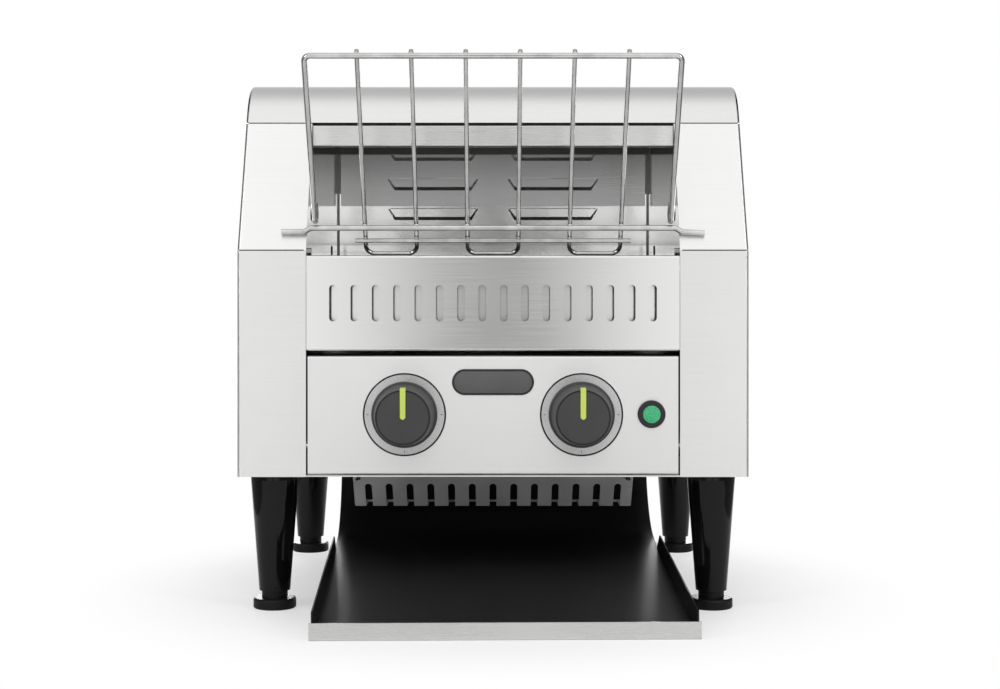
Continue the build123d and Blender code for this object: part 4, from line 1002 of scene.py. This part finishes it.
@dataclass
class ControlKnob:
    """One knob on its dial: a moulded cap with a pointer strip that folds over its edge.

    Args:
        side: "heat" or "speed".
        finishes: The toaster's finishes.
        marks: The angles of the dial's marks in degrees, clockwise from the top.
        face: The radius of the knob's face.
        rim: How wide the face's rim is, and how far its outer edge is rounded.
        dish: How far the face lies under its rim.
        moat: The width and depth of the groove between the face and its rim.
        skirt: The skirt's height, the height at which the cone starts, and how far the cone steps in.
        skirt_edges: How far the skirt's foot, its shoulder and the start of the cone are rounded.
        groove: Where the cone's groove is as a share of the height, then its depth and half its width.
        fine: The mould's finest rounding and step.
        strip: The pointer strip's width and thickness, and how far its middle is above the face.
        strip_start: How far below the middle of the face the strip starts, how long its tip is, and
            the tip's width as a share of the strip's.
        climb: How far before the rim the strip bends up to it, and how far that bend is rounded.
        fold: How far the strip comes down the knob's side, and how far it is rounded over the edge.
        ring_edge: How far the edges of the dial are broken.
        outline: How wide the dark ring near the dial's edge is, how far it stays from the dial's edge, and
            how far it and the marks stand up.
        mark: Half a mark's width, and how far it stays from the knob and from the dial's edge.
        steps: How many points go round the knob and the dial.
    """

    side: str
    finishes: Finishes
    marks: tuple[float, ...]
    face: float = 19.7 * MM
    rim: tuple[float, float] = (0.6 * MM, 1.6 * MM)
    dish: float = 0.4 * MM
    moat: tuple[float, float] = (0.7 * MM, 1.2 * MM)
    skirt: tuple[float, float, float] = (3.0 * MM, 3.6 * MM, 1.6 * MM)
    skirt_edges: tuple[float, float, float] = (0.2 * MM, 0.9 * MM, 0.5 * MM)
    groove: tuple[float, float, float] = (0.72, 0.35 * MM, 0.5 * MM)
    fine: float = 0.1 * MM
    strip: tuple[float, float, float] = (4.0 * MM, 0.7 * MM, 0.3 * MM)
    strip_start: tuple[float, float, float] = (1.4 * MM, 1.3 * MM, 0.3)
    climb: tuple[float, float] = (1.5 * MM, 1.0 * MM)
    fold: tuple[float, float] = (5.0 * MM, 1.2 * MM)
    ring_edge: float = 0.3 * MM
    outline: tuple[float, float, float] = (1.2 * MM, 0.1 * MM, 0.04 * MM)
    mark: tuple[float, float, float] = (0.25 * MM, 2.2 * MM, 2.6 * MM)
    steps: int = 128

    def __post_init__(self) -> None:
        """Takes the knob's place and size from its solid."""
        low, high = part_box(f"{self.side}_knob")
        self.body: str = f"{self.side}_control"
        self.centre: tuple[float, ...] = ((low.x + high.x) / 2, high.y, (low.z + high.z) / 2)
        self.base: float = (high.x - low.x) / 2
        self.height: float = high.y - low.y

    def cap(self) -> None:
        """Turns the knob: a skirt, a step, a cone with one fine groove, a rim and a dished face."""
        skirt_top, cone_start, step = self.skirt
        foot, shoulder, cone_foot = self.skirt_edges
        rim, rim_round = self.rim
        share, depth, half = self.groove
        cone, top, fine = self.base - step, self.height, self.fine
        waist, middle = cone + (self.face - cone) * share, top * share
        low_face, shore = top - self.dish, self.face - rim
        wide, drop = self.moat
        corners = [
            (0, 0, 0),
            (self.base, 0, foot),
            (self.base, skirt_top, shoulder),
            (cone, cone_start, cone_foot),
            (waist, middle - half, fine),
            (waist - depth, middle, 3 * fine),
            (waist, middle + half, fine),
            (self.face, top - fine, rim_round),
            (shore, top, 2 * fine),
            (shore - fine, low_face - drop, fine),
            (shore - wide, low_face - drop, fine),
            (shore - wide, low_face, 2 * fine),
            (0, low_face, 0),
        ]
        grid = turned(rounded(corners), self.centre, self.steps)
        finish = self.finishes.knob
        cap = Piece(f"{self.side}_knob_cap", grid, self.body, "knob_plastic", finish).build()
        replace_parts(cap, f"{self.side}_knob")

    def pointer(self) -> None:
        """Bends the pointer strip from its tip on the face over the rim and down the cone."""
        width, thickness, proud = self.strip
        start, tip, tip_width = self.strip_start
        before_rim, climb_round = self.climb
        down, edge_round = self.fold
        lift = self.height - self.dish + proud
        rim_start = self.face - self.rim[0]
        slope = (self.base - self.face) / self.height
        corners = [
            (lift, tip - start, 0),
            (lift, rim_start - before_rim, climb_round),
            (self.height, rim_start, climb_round),
            (self.height, self.face - self.fine, edge_round),
            (self.height - down, self.face + slope * down + self.fine, 0),
        ]
        path = np.concatenate(([(lift, -start)], rounded(corners)))
        widths = np.full(len(path), width)
        widths[0] *= tip_width
        x, out, up = np.moveaxis(strip_along(path, widths, thickness), -1, 0)
        grid = (np.stack((x, -out, up), axis=-1) + np.array(self.centre))[None]
        finish = self.finishes.pointer
        strip = Piece(f"{self.side}_pointer_strip", grid, self.body, "pointer_plastic", finish).build()
        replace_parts(strip, f"{self.side}_knob_pointer")

    def ring(self, size: tuple[float, float, float], middle: tuple[float, ...]) -> bpy.types.Object:
        """Turns the dial's ring, with its edges broken.

        Args:
            size: The ring's outer radius, the radius of its hole, and its thickness.
            middle: The ring's middle, on the face of the panel.

        Returns:
            The ring.
        """
        outer, inner, thickness = size
        edge = self.ring_edge
        corners = [(inner, 0, 0), (inner, thickness, edge), (outer, thickness, edge), (outer, 0, 0)]
        profile = rounded(corners)
        profile = np.concatenate((profile, profile[:1]))
        finish = TurnedSteel(f"{self.side}_dial_turned_steel", "#B0B0B0", 0.26, centre=middle)
        grid = turned(profile, middle, self.steps)
        return Piece(f"{self.side}_dial_ring", grid, "chassis", "dial_steel", finish).build()

    def outline_and_marks(self, outer: float, thickness: float, middle: tuple[float, ...]) -> None:
        """Lays a dark ring near the dial's edge and prints its marks: a thin ring and thin radial bars.

        Args:
            outer: The dial's outer radius.
            thickness: The dial's thickness.
            middle: The dial's middle, on the face of the panel.
        """
        width, margin, ink = self.outline
        end, top = outer - margin, thickness + ink
        start = end - width
        section = [(start, thickness), (start, top), (end, top), (end, thickness), (start, thickness)]
        grid = turned(np.array(section), middle, self.steps)
        black, grey = self.finishes.bezel, self.finishes.badge
        Piece(f"{self.side}_dial_outline", grid, "chassis", "knob_plastic", black).build()
        half, from_knob, from_edge = self.mark
        near, far = self.base + from_knob, outer - from_edge
        corner = circle(4) + np.pi / 4
        ends = np.array([[0], [1], [1], [0]])
        along = (near + far) / 2 + (far - near) / 2 * np.sign(np.cos(corner)) * ends
        aside = half * np.sign(np.sin(corner)) * ends
        out = np.broadcast_to(np.array([thickness, thickness, top, top])[:, None], along.shape)
        turns = np.radians(self.marks)[:, None, None]
        x = along * np.sin(turns) + aside * np.cos(turns)
        up = along * np.cos(turns) - aside * np.sin(turns)
        grid = np.stack((x, np.broadcast_to(-out, x.shape), up), axis=-1) + np.array(middle)
        Piece(f"{self.side}_dial_marks", grid, "chassis", "knob_plastic", grey, sharp=20).build()


@dataclass
class ControlPanel(SubAssembly):
    """The control panel: two knobs on dials, the badge, the pilot lamp, and what sits behind them.

    Args:
        marks: For each knob its side, and the angles of its dial's marks in degrees, clockwise from
            the top.
        dial_hole: The radius of a dial's hole.
        badge_rim: The badge's raised rim, from its outer foot over its top to its inner foot: how far
            each point is inside the outline, and its height as a share of the badge's.
        badge_face: How high the badge's face lies, as a share of the badge's height.
        badge_edge: How far the edge of that face is sloped, inwards and down.
        badge_steps: How many points go round the badge.
        lens_dome: How far the lens's dome stands up, and how deep its wedges are cut.
        lens_fullness: How far the dome curves down to its edge, where 0 is flat and 1 is half a ball.
        lens_wedges: How many wedges go round the lens.
        lens_steps: How many points go round the lens, and how many from its edge to its middle.
    """

    marks: tuple[tuple[str, tuple[float, ...]], ...] = (
        ("heat", (90, 180, 270)),
        ("speed", (-90, 90, 180)),
    )
    dial_hole: float = 4.5 * MM
    badge_rim: tuple[tuple[float, float], ...] = (
        (0.0, 0.0),
        (0.0, 0.6),
        (0.3 * MM, 0.9),
        (0.6 * MM, 1.0),
        (1.2 * MM, 1.0),
        (1.4 * MM, 0.8),
        (1.4 * MM, 0.0),
        (0.0, 0.0),
    )
    badge_face: float = 0.78
    badge_edge: tuple[float, float] = (0.2 * MM, 0.1 * MM)
    badge_steps: int = 48
    lens_dome: tuple[float, float] = (1.1 * MM, 0.35 * MM)
    lens_fullness: float = 0.8
    lens_wedges: int = 12
    lens_steps: tuple[int, int] = (96, 14)
    solids: ClassVar[dict[str, list[str]]] = {
        "control": ["control_panel"],
        "screw": ["dial_plates"],
        "badge": ["badge_plate"],
        "bezel": ["lamp_bezel"],
        "lens": ["lamp_lens"],
        "knob": ["heat_knob", "speed_knob"],
        "pointer": ["heat_knob_pointer", "speed_knob_pointer"],
        "shaft": ["heat_spindle", "speed_spindle"],
        "switch": ["selector_switch"],
        "board": ["speed_regulator"],
    }

    def dials(self) -> None:
        """Makes both knobs and dials, and hides the solid of both plates."""
        low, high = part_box("dial_plates")
        outer, thickness = (high.z - low.z) / 2, high.y - low.y
        for side, angles in self.marks:
            knob = ControlKnob(side, self.finishes, angles)
            knob.cap()
            knob.pointer()
            middle = (knob.centre[0], high.y, (low.z + high.z) / 2)
            ring = knob.ring((outer, self.dial_hole, thickness), middle)
            knob.outline_and_marks(outer, thickness, middle)
        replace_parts(ring, "dial_plates")

    def pill(self, levels: list[tuple[float, float]]) -> np.ndarray:
        """Stacks rings of the badge's pill shape: each is the outline drawn in by its inset.

        Args:
            levels: For each ring its inset and its height above the panel.

        Returns:
            Points as (1, rows, columns, 3), for one Piece copy.
        """
        low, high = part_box("badge_plate")
        radius = (high.z - low.z) / 2
        angles = circle(self.badge_steps) + np.pi / self.badge_steps
        straight = np.where(np.cos(angles) > 0, 1, -1) * ((high.x - low.x) / 2 - radius)
        inset, height = np.array(levels).T[:, :, None]
        x = (low.x + high.x) / 2 + straight + (radius - inset) * np.cos(angles)
        z = (low.z + high.z) / 2 + (radius - inset) * np.sin(angles)
        y = np.broadcast_to(high.y - height, x.shape)
        return np.stack((x, y, z), axis=-1)[None]

    def badge(self) -> None:
        """Makes the blank badge: a raised rim round a lower face."""
        low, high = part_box("badge_plate")
        radius, height = (high.z - low.z) / 2, high.y - low.y
        rim = [(inset, share * height) for inset, share in self.badge_rim]
        inner, top = max(inset for inset, _ in rim), height * self.badge_face
        inwards, down = self.badge_edge
        face = [(radius, 0.0), (inner, 0.0), (inner, top - down), (inner + inwards, top), (radius, top)]
        bezel, badge = self.finishes.bezel, self.finishes.badge
        rim_piece = Piece("badge_rim", self.pill(rim), "chassis", "bezel_plastic", bezel).build()
        Piece("badge_face", self.pill(face), "chassis", "badge_plastic", badge).build()
        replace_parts(rim_piece, "badge_plate")

    def lamp(self) -> None:
        """Makes the lens: a low dome whose height ripples with the angle, so it is cut in wedges."""
        low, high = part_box("lamp_lens")
        panel = front_y()
        radius, reach, back = (high.x - low.x) / 2, panel - low.y, panel - high.y
        dome, cut = self.lens_dome
        around, inwards = self.lens_steps
        shares = np.linspace(1, 0, inwards)
        heights = reach - dome + dome * np.sqrt(1 - self.lens_fullness * shares**2)
        front = np.stack((shares * radius, heights), axis=1)
        wall = [(0, back), (radius, back), (radius, reach - dome)]
        middle = ((low.x + high.x) / 2, panel, (low.z + high.z) / 2)
        grid = turned(np.concatenate((wall, front)), middle, around)
        ripple = cut * np.abs(np.sin(circle(around) * self.lens_wedges / 2)) * shares[:, None]
        grid[0, len(wall) :, :, 1] += ripple
        lens = self.finishes.lens
        piece = Piece("lamp_lens_dome", grid, "chassis", "lens_plastic", lens, sharp=18).build()
        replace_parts(piece, "lamp_lens")

    def build(self) -> None:
        """Makes all that sits on the panel."""
        self.dials()
        self.badge()
        self.lamp()


# ------------------------------------------------------------------------------ rack, slide and base


@dataclass
class LoadingRack(SubAssembly):
    """The wire loading rack, with the resistance welds where its wires cross.

    Args:
        bar: The lower bar's depth behind the front and its height.
        rise: The rack's slope, as depth and height for each unit of length.
        rods: Where the upright rods are.
        wires: For each crossing wire how far up the slope it is, and how far behind it the rods lie.
        beads: For each crossing wire a bead's half sizes: along the wire, off the rack, up the slope.
        steps: How many points go from end to end of a bead, and how many go round it.
    """

    bar: tuple[float, float] = (4.4 * MM, 277.5 * MM)
    rise: tuple[float, float] = (-0.5762, 0.8173)
    rods: tuple[float, ...] = tuple(
        (middle + side * 18.5) * MM for middle in (-74, 0, 74) for side in (-1, 1)
    )
    wires: tuple[tuple[float, float], ...] = (
        (0.0, 1.9 * MM),
        (140.7 * MM, 1.9 * MM),
        (-11.2 * MM, 2.0 * MM),
    )
    beads: tuple[tuple[float, float, float], ...] = (
        (2.3 * MM, 1.3 * MM, 2.3 * MM),
        (2.3 * MM, 1.3 * MM, 2.3 * MM),
        (1.9 * MM, 1.0 * MM, 1.9 * MM),
    )
    steps: tuple[int, int] = (9, 16)
    solids: ClassVar[dict[str, list[str]]] = {"wire": ["rack_frame", "rack_rods", "rack_bars"]}

    def build(self) -> None:
        """Makes the beads: an ellipsoid for each rod and wire, turned along the rack."""
        forward, upward = self.rise
        ends, around = self.steps
        rings = np.linspace(0, np.pi, ends)[:, None]
        grids = []
        for (along, off), (wide, thick, long) in zip(self.wires, self.beads):
            across = wide * np.sin(rings) * np.cos(circle(around))
            behind = off + thick * np.sin(rings) * np.sin(circle(around))
            reach = along + long * np.broadcast_to(np.cos(rings), across.shape)
            y = front_y() + self.bar[0] + reach * forward + behind * upward
            z = self.bar[1] + reach * upward - behind * forward
            grids += [np.stack((across + rod, y, z), axis=-1) for rod in self.rods]
        finish = self.finishes.wire
        Piece("rack_weld_beads", np.array(grids), "loading_rack", "wire_steel", finish).build()


@dataclass
class ToastSlide(SubAssembly):
    """The toast slide with its lip, its hangers, and the guard over it with two screws.

    Args:
        slope: The depth and height of the guard's slope at its top and at its foot.
        screw: The distance of a guard screw from the middle, and its height.
        head: A screw head's radius and height, and how far the guard's face is off its slope line.
    """

    slope: tuple[tuple[float, float], ...] = ((130.5 * MM, 98.5 * MM), (171.0 * MM, 55.6 * MM))
    screw: tuple[float, float] = (108.5 * MM, 81 * MM)
    head: tuple[float, float, float] = (2.6 * MM, 1.5 * MM, 0.9 * MM)
    solids: ClassVar[dict[str, list[str]]] = {
        "coating": ["toast_slide"],
        "lid": ["slide_lip"],
        "guard": ["lower_guard", "slide_hangers"],
    }

    def build(self) -> None:
        """Makes the guard's screws, square to its slope."""
        top, foot = (np.array(point) for point in self.slope)
        radius, height, face = self.head
        spot = top + (foot - top) * (top[1] - self.screw[1]) / (top[1] - foot[1])
        way = np.array((foot[1] - top[1], top[0] - foot[0])) / np.linalg.norm(top - foot)
        outward = np.tile((0.0, *way), (2, 1))
        depth = front_y() + spot[0]
        places = np.array([(side * self.screw[0], depth, spot[1]) for side in (-1, 1)])
        places += outward * face
        PanHeads("guard_screw_heads", places, outward, radius, height, self.finishes.screw).build()


@dataclass
class Base(SubAssembly):
    """The legs, the feet, and the mains entry between them."""

    solids: ClassVar[dict[str, list[str]]] = {
        "leg": ["legs"],
        "foot": [f"foot_{row}_{side}" for row in ("front", "rear") for side in ("left", "right")]
        + ["cable_gland"],
        "screw": ["leg_bolts"],
        "terminal": ["terminal_block"],
    }


@dataclass
class CoolingFan(SubAssembly):
    """The cooling fan on the back."""

    solids: ClassVar[dict[str, list[str]]] = {"fan": ["fan_frame", "fan_rotor"]}


# ------------------------------------------------------------------------------ studio


class Way(Enum):
    """A way in the room that light is told apart by: the world's X, Y and Z, and X without its sign."""

    SIDE = "X"
    BACK = "Y"
    UP = "Z"
    ASIDE = "|X|"


@dataclass(frozen=True)
class Patch:
    """A part of the room that is brighter or dimmer than the rest, within soft edges.

    Args:
        light: How much light it adds in its middle, where 1 is white, or takes off below 0.
        edges: For each soft edge the way it is measured along, where it starts, and where the patch
            is full, as the cosine of the angle to that way.
    """

    light: float
    edges: tuple[tuple[Way, float, float], ...]


@dataclass(frozen=True)
class SoftBox:
    """A pair of soft boxes, of which the left one mirrors the right one.

    Args:
        name: What they are called.
        place: Where the right one hangs, in metres.
        target: What it points at.
        size: Its width and height.
        power: Its power in watts.
    """

    name: str
    place: tuple[float, float, float]
    target: tuple[float, float, float]
    size: tuple[float, float]
    power: float

    def hang(self, side: int) -> None:
        """Hangs one of the two.

        Args:
            side: 1 for the right one, -1 for the left one.
        """
        light = bpy.data.lights.new(f"soft_box_{self.name}", "AREA")
        light.shape = "RECTANGLE"
        light.size, light.size_y = self.size
        light.energy = self.power
        box = bpy.data.objects.new(light.name, light)
        bpy.context.scene.collection.objects.link(box)
        mirror = Vector((side, 1, 1))
        box.location = mirror * Vector(self.place)
        aim = mirror * Vector(self.target) - box.location
        box.rotation_euler = aim.to_track_quat("-Z", "Y").to_euler()
        box.visible_camera = False


@dataclass
class Studio:
    """The plain pale floor, the soft light and the camera.

    Args:
        eye: Where the camera stands, in metres.
        lens: The camera's focal length and the width of its sensor, in millimetres.
        shift: How far its frame is shifted, in frame widths.
        floor_half: Half the floor's side in metres.
        floor_fade: Between which distances from the middle the floor turns white.
        floor_lift: How white it is at the middle, from 0 to 1.
        plain: The light that comes from every side, where 1 is white.
        patches: Where the room is brighter or dimmer than that.
        boxes: The pairs of soft boxes.
    """

    eye: tuple[float, float, float] = (0.0, -1.415, 0.253)
    lens: tuple[float, float] = (65.12, 36.0)
    shift: tuple[float, float] = (0.007, -0.0825)
    floor_half: float = 0.46
    floor_fade: tuple[float, float] = (0.14, 0.34)
    floor_lift: float = 0.4
    plain: float = 1.04
    patches: tuple[Patch, ...] = (
        # Brighter above the camera, which lights the sheets that lean back.
        Patch(0.1, ((Way.UP, 0.35, 0.75), (Way.BACK, 0.1, -0.3))),
        # Dimmer above and behind the toaster, so that the sheets that face up stay grey.
        Patch(-0.45, ((Way.UP, 0.2, 0.6), (Way.BACK, -0.25, 0.45))),
        # Dark where the camera stands, which the polished sheets mirror.
        Patch(
            -0.84,
            ((Way.ASIDE, 0.1, 0.0), (Way.BACK, -0.5, -0.7), (Way.UP, 0.35, 0.15), (Way.UP, -0.4, -0.2)),
        ),
        # Dark straight to the left and right, which draws the edges of the wires.
        Patch(-0.8, ((Way.ASIDE, 0.36, 0.62),)),
    )
    boxes: tuple[SoftBox, ...] = (
        # Tall ones beside the camera.
        SoftBox("tall", (1.5, -1.2, 0.95), (0.0, -0.1, 0.25), (0.35, 1.3), 9.0),
        # Low ones behind the toaster, which graze the slide.
        SoftBox("low", (0.3, 0.72, 0.12), (0.1, -0.1, 0.02), (0.22, 0.1), 1.6),
    )

    def floor(self) -> None:
        """Lays the pale floor, which turns white away from the toaster."""
        half = self.floor_half
        mesh = bpy.data.meshes.new("floor")
        edge = [(-half, -half, 0), (half, -half, 0), (half, half, 0), (-half, half, 0)]
        mesh.from_pydata(edge, [], [(0, 1, 2, 3)])
        floor = bpy.data.objects.new("floor", mesh)
        bpy.context.scene.collection.objects.link(floor)
        material = Finish("pale_floor", "#F6F6F6", 0.9).build()
        tree = material.node_tree
        place = add(tree, "TexCoord", {}).outputs["Object"]
        reach = add(tree, "VectorMath", {0: place}, operation="LENGTH").outputs["Value"]
        near, far = self.floor_fade
        fade = {"Value": reach, "From Min": near, "From Max": far, "To Min": self.floor_lift}
        whiteness = add(tree, "MapRange", fade, interpolation_type="SMOOTHSTEP").outputs[0]
        sight = add(tree, "LightPath", {}).outputs["Is Camera Ray"]
        seen = add(tree, "Math", {0: whiteness, 1: sight}, operation="MULTIPLY").outputs[0]
        white = add(tree, "Emission", {"Color": linear("#FFFFFF"), "Strength": 1.0}).outputs[0]
        paint = tree.nodes["Principled BSDF"].outputs[0]
        mixed = add(tree, "MixShader", {0: seen, 1: paint, 2: white})
        tree.links.new(mixed.outputs[0], tree.nodes["Material Output"].inputs["Surface"])
        mesh.materials.append(material)

    def room(self) -> None:
        """Lights the world: its plain light plus each patch, whose edges are multiplied together."""
        world = bpy.data.worlds.new("studio")
        bpy.context.scene.world = world
        world.use_nodes = True
        tree = world.node_tree
        facing = add(tree, "SeparateXYZ", {0: add(tree, "TexCoord", {}).outputs["Generated"]})
        ways = dict(zip((Way.SIDE, Way.BACK, Way.UP), facing.outputs))
        ways[Way.ASIDE] = add(tree, "Math", {0: ways[Way.SIDE]}, operation="ABSOLUTE").outputs[0]
        total = self.plain
        for patch in self.patches:
            light = patch.light
            for way, start, full in patch.edges:
                inputs = {"Value": ways[way], "From Min": start, "From Max": full}
                edge = add(tree, "MapRange", inputs, interpolation_type="SMOOTHSTEP").outputs[0]
                light = add(tree, "Math", {0: light, 1: edge}, operation="MULTIPLY").outputs[0]
            total = add(tree, "Math", {0: total, 1: light}, operation="ADD").outputs[0]
        path = add(tree, "LightPath", {}).outputs
        sight = {0: path["Is Camera Ray"], 1: path["Is Transmission Ray"]}
        direct = add(tree, "Math", sight, operation="MAXIMUM").outputs[0]
        strength = add(tree, "Mix", {"Factor": direct, "A": total, "B": 1.0}, data_type="FLOAT")
        background = tree.nodes["Background"]
        tree.links.new(strength.outputs["Result"], background.inputs["Strength"])
        background.inputs["Color"].default_value = linear("#FFFFFF")

    def camera(self) -> None:
        """Sets up the camera, level and straight on."""
        data = bpy.data.cameras.new("camera")
        data.lens, data.sensor_width = self.lens
        data.shift_x, data.shift_y = self.shift
        camera = bpy.data.objects.new("camera", data)
        camera.location = self.eye
        camera.rotation_euler = (math.radians(90), 0, 0)
        bpy.context.scene.collection.objects.link(camera)
        bpy.context.scene.camera = camera

    def build(self) -> None:
        """Sets the whole stage."""
        bpy.context.scene.view_settings.view_transform = "Standard"
        self.floor()
        self.room()
        for box in self.boxes:
            for side in (-1, 1):
                box.hang(side)
        self.camera()
        LOG.info("studio is set")


def main() -> None:
    """Builds the toaster's looks in order, and makes sure that every solid has a finish."""
    logging.basicConfig(level=logging.INFO, format="%(message)s")
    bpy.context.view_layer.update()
    Studio().build()
    finishes = Finishes()
    dressed: set[str] = set()
    for kind in (Housing, Chamber, Drive, ControlPanel, LoadingRack, ToastSlide, Base, CoolingFan):
        part = kind(finishes)
        dressed |= part.dress()
        part.build()
    if dressed != set(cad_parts):
        raise ValueError(f"no finish for {sorted(set(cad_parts) - dressed)}")


if __name__ == "__main__":
    main()
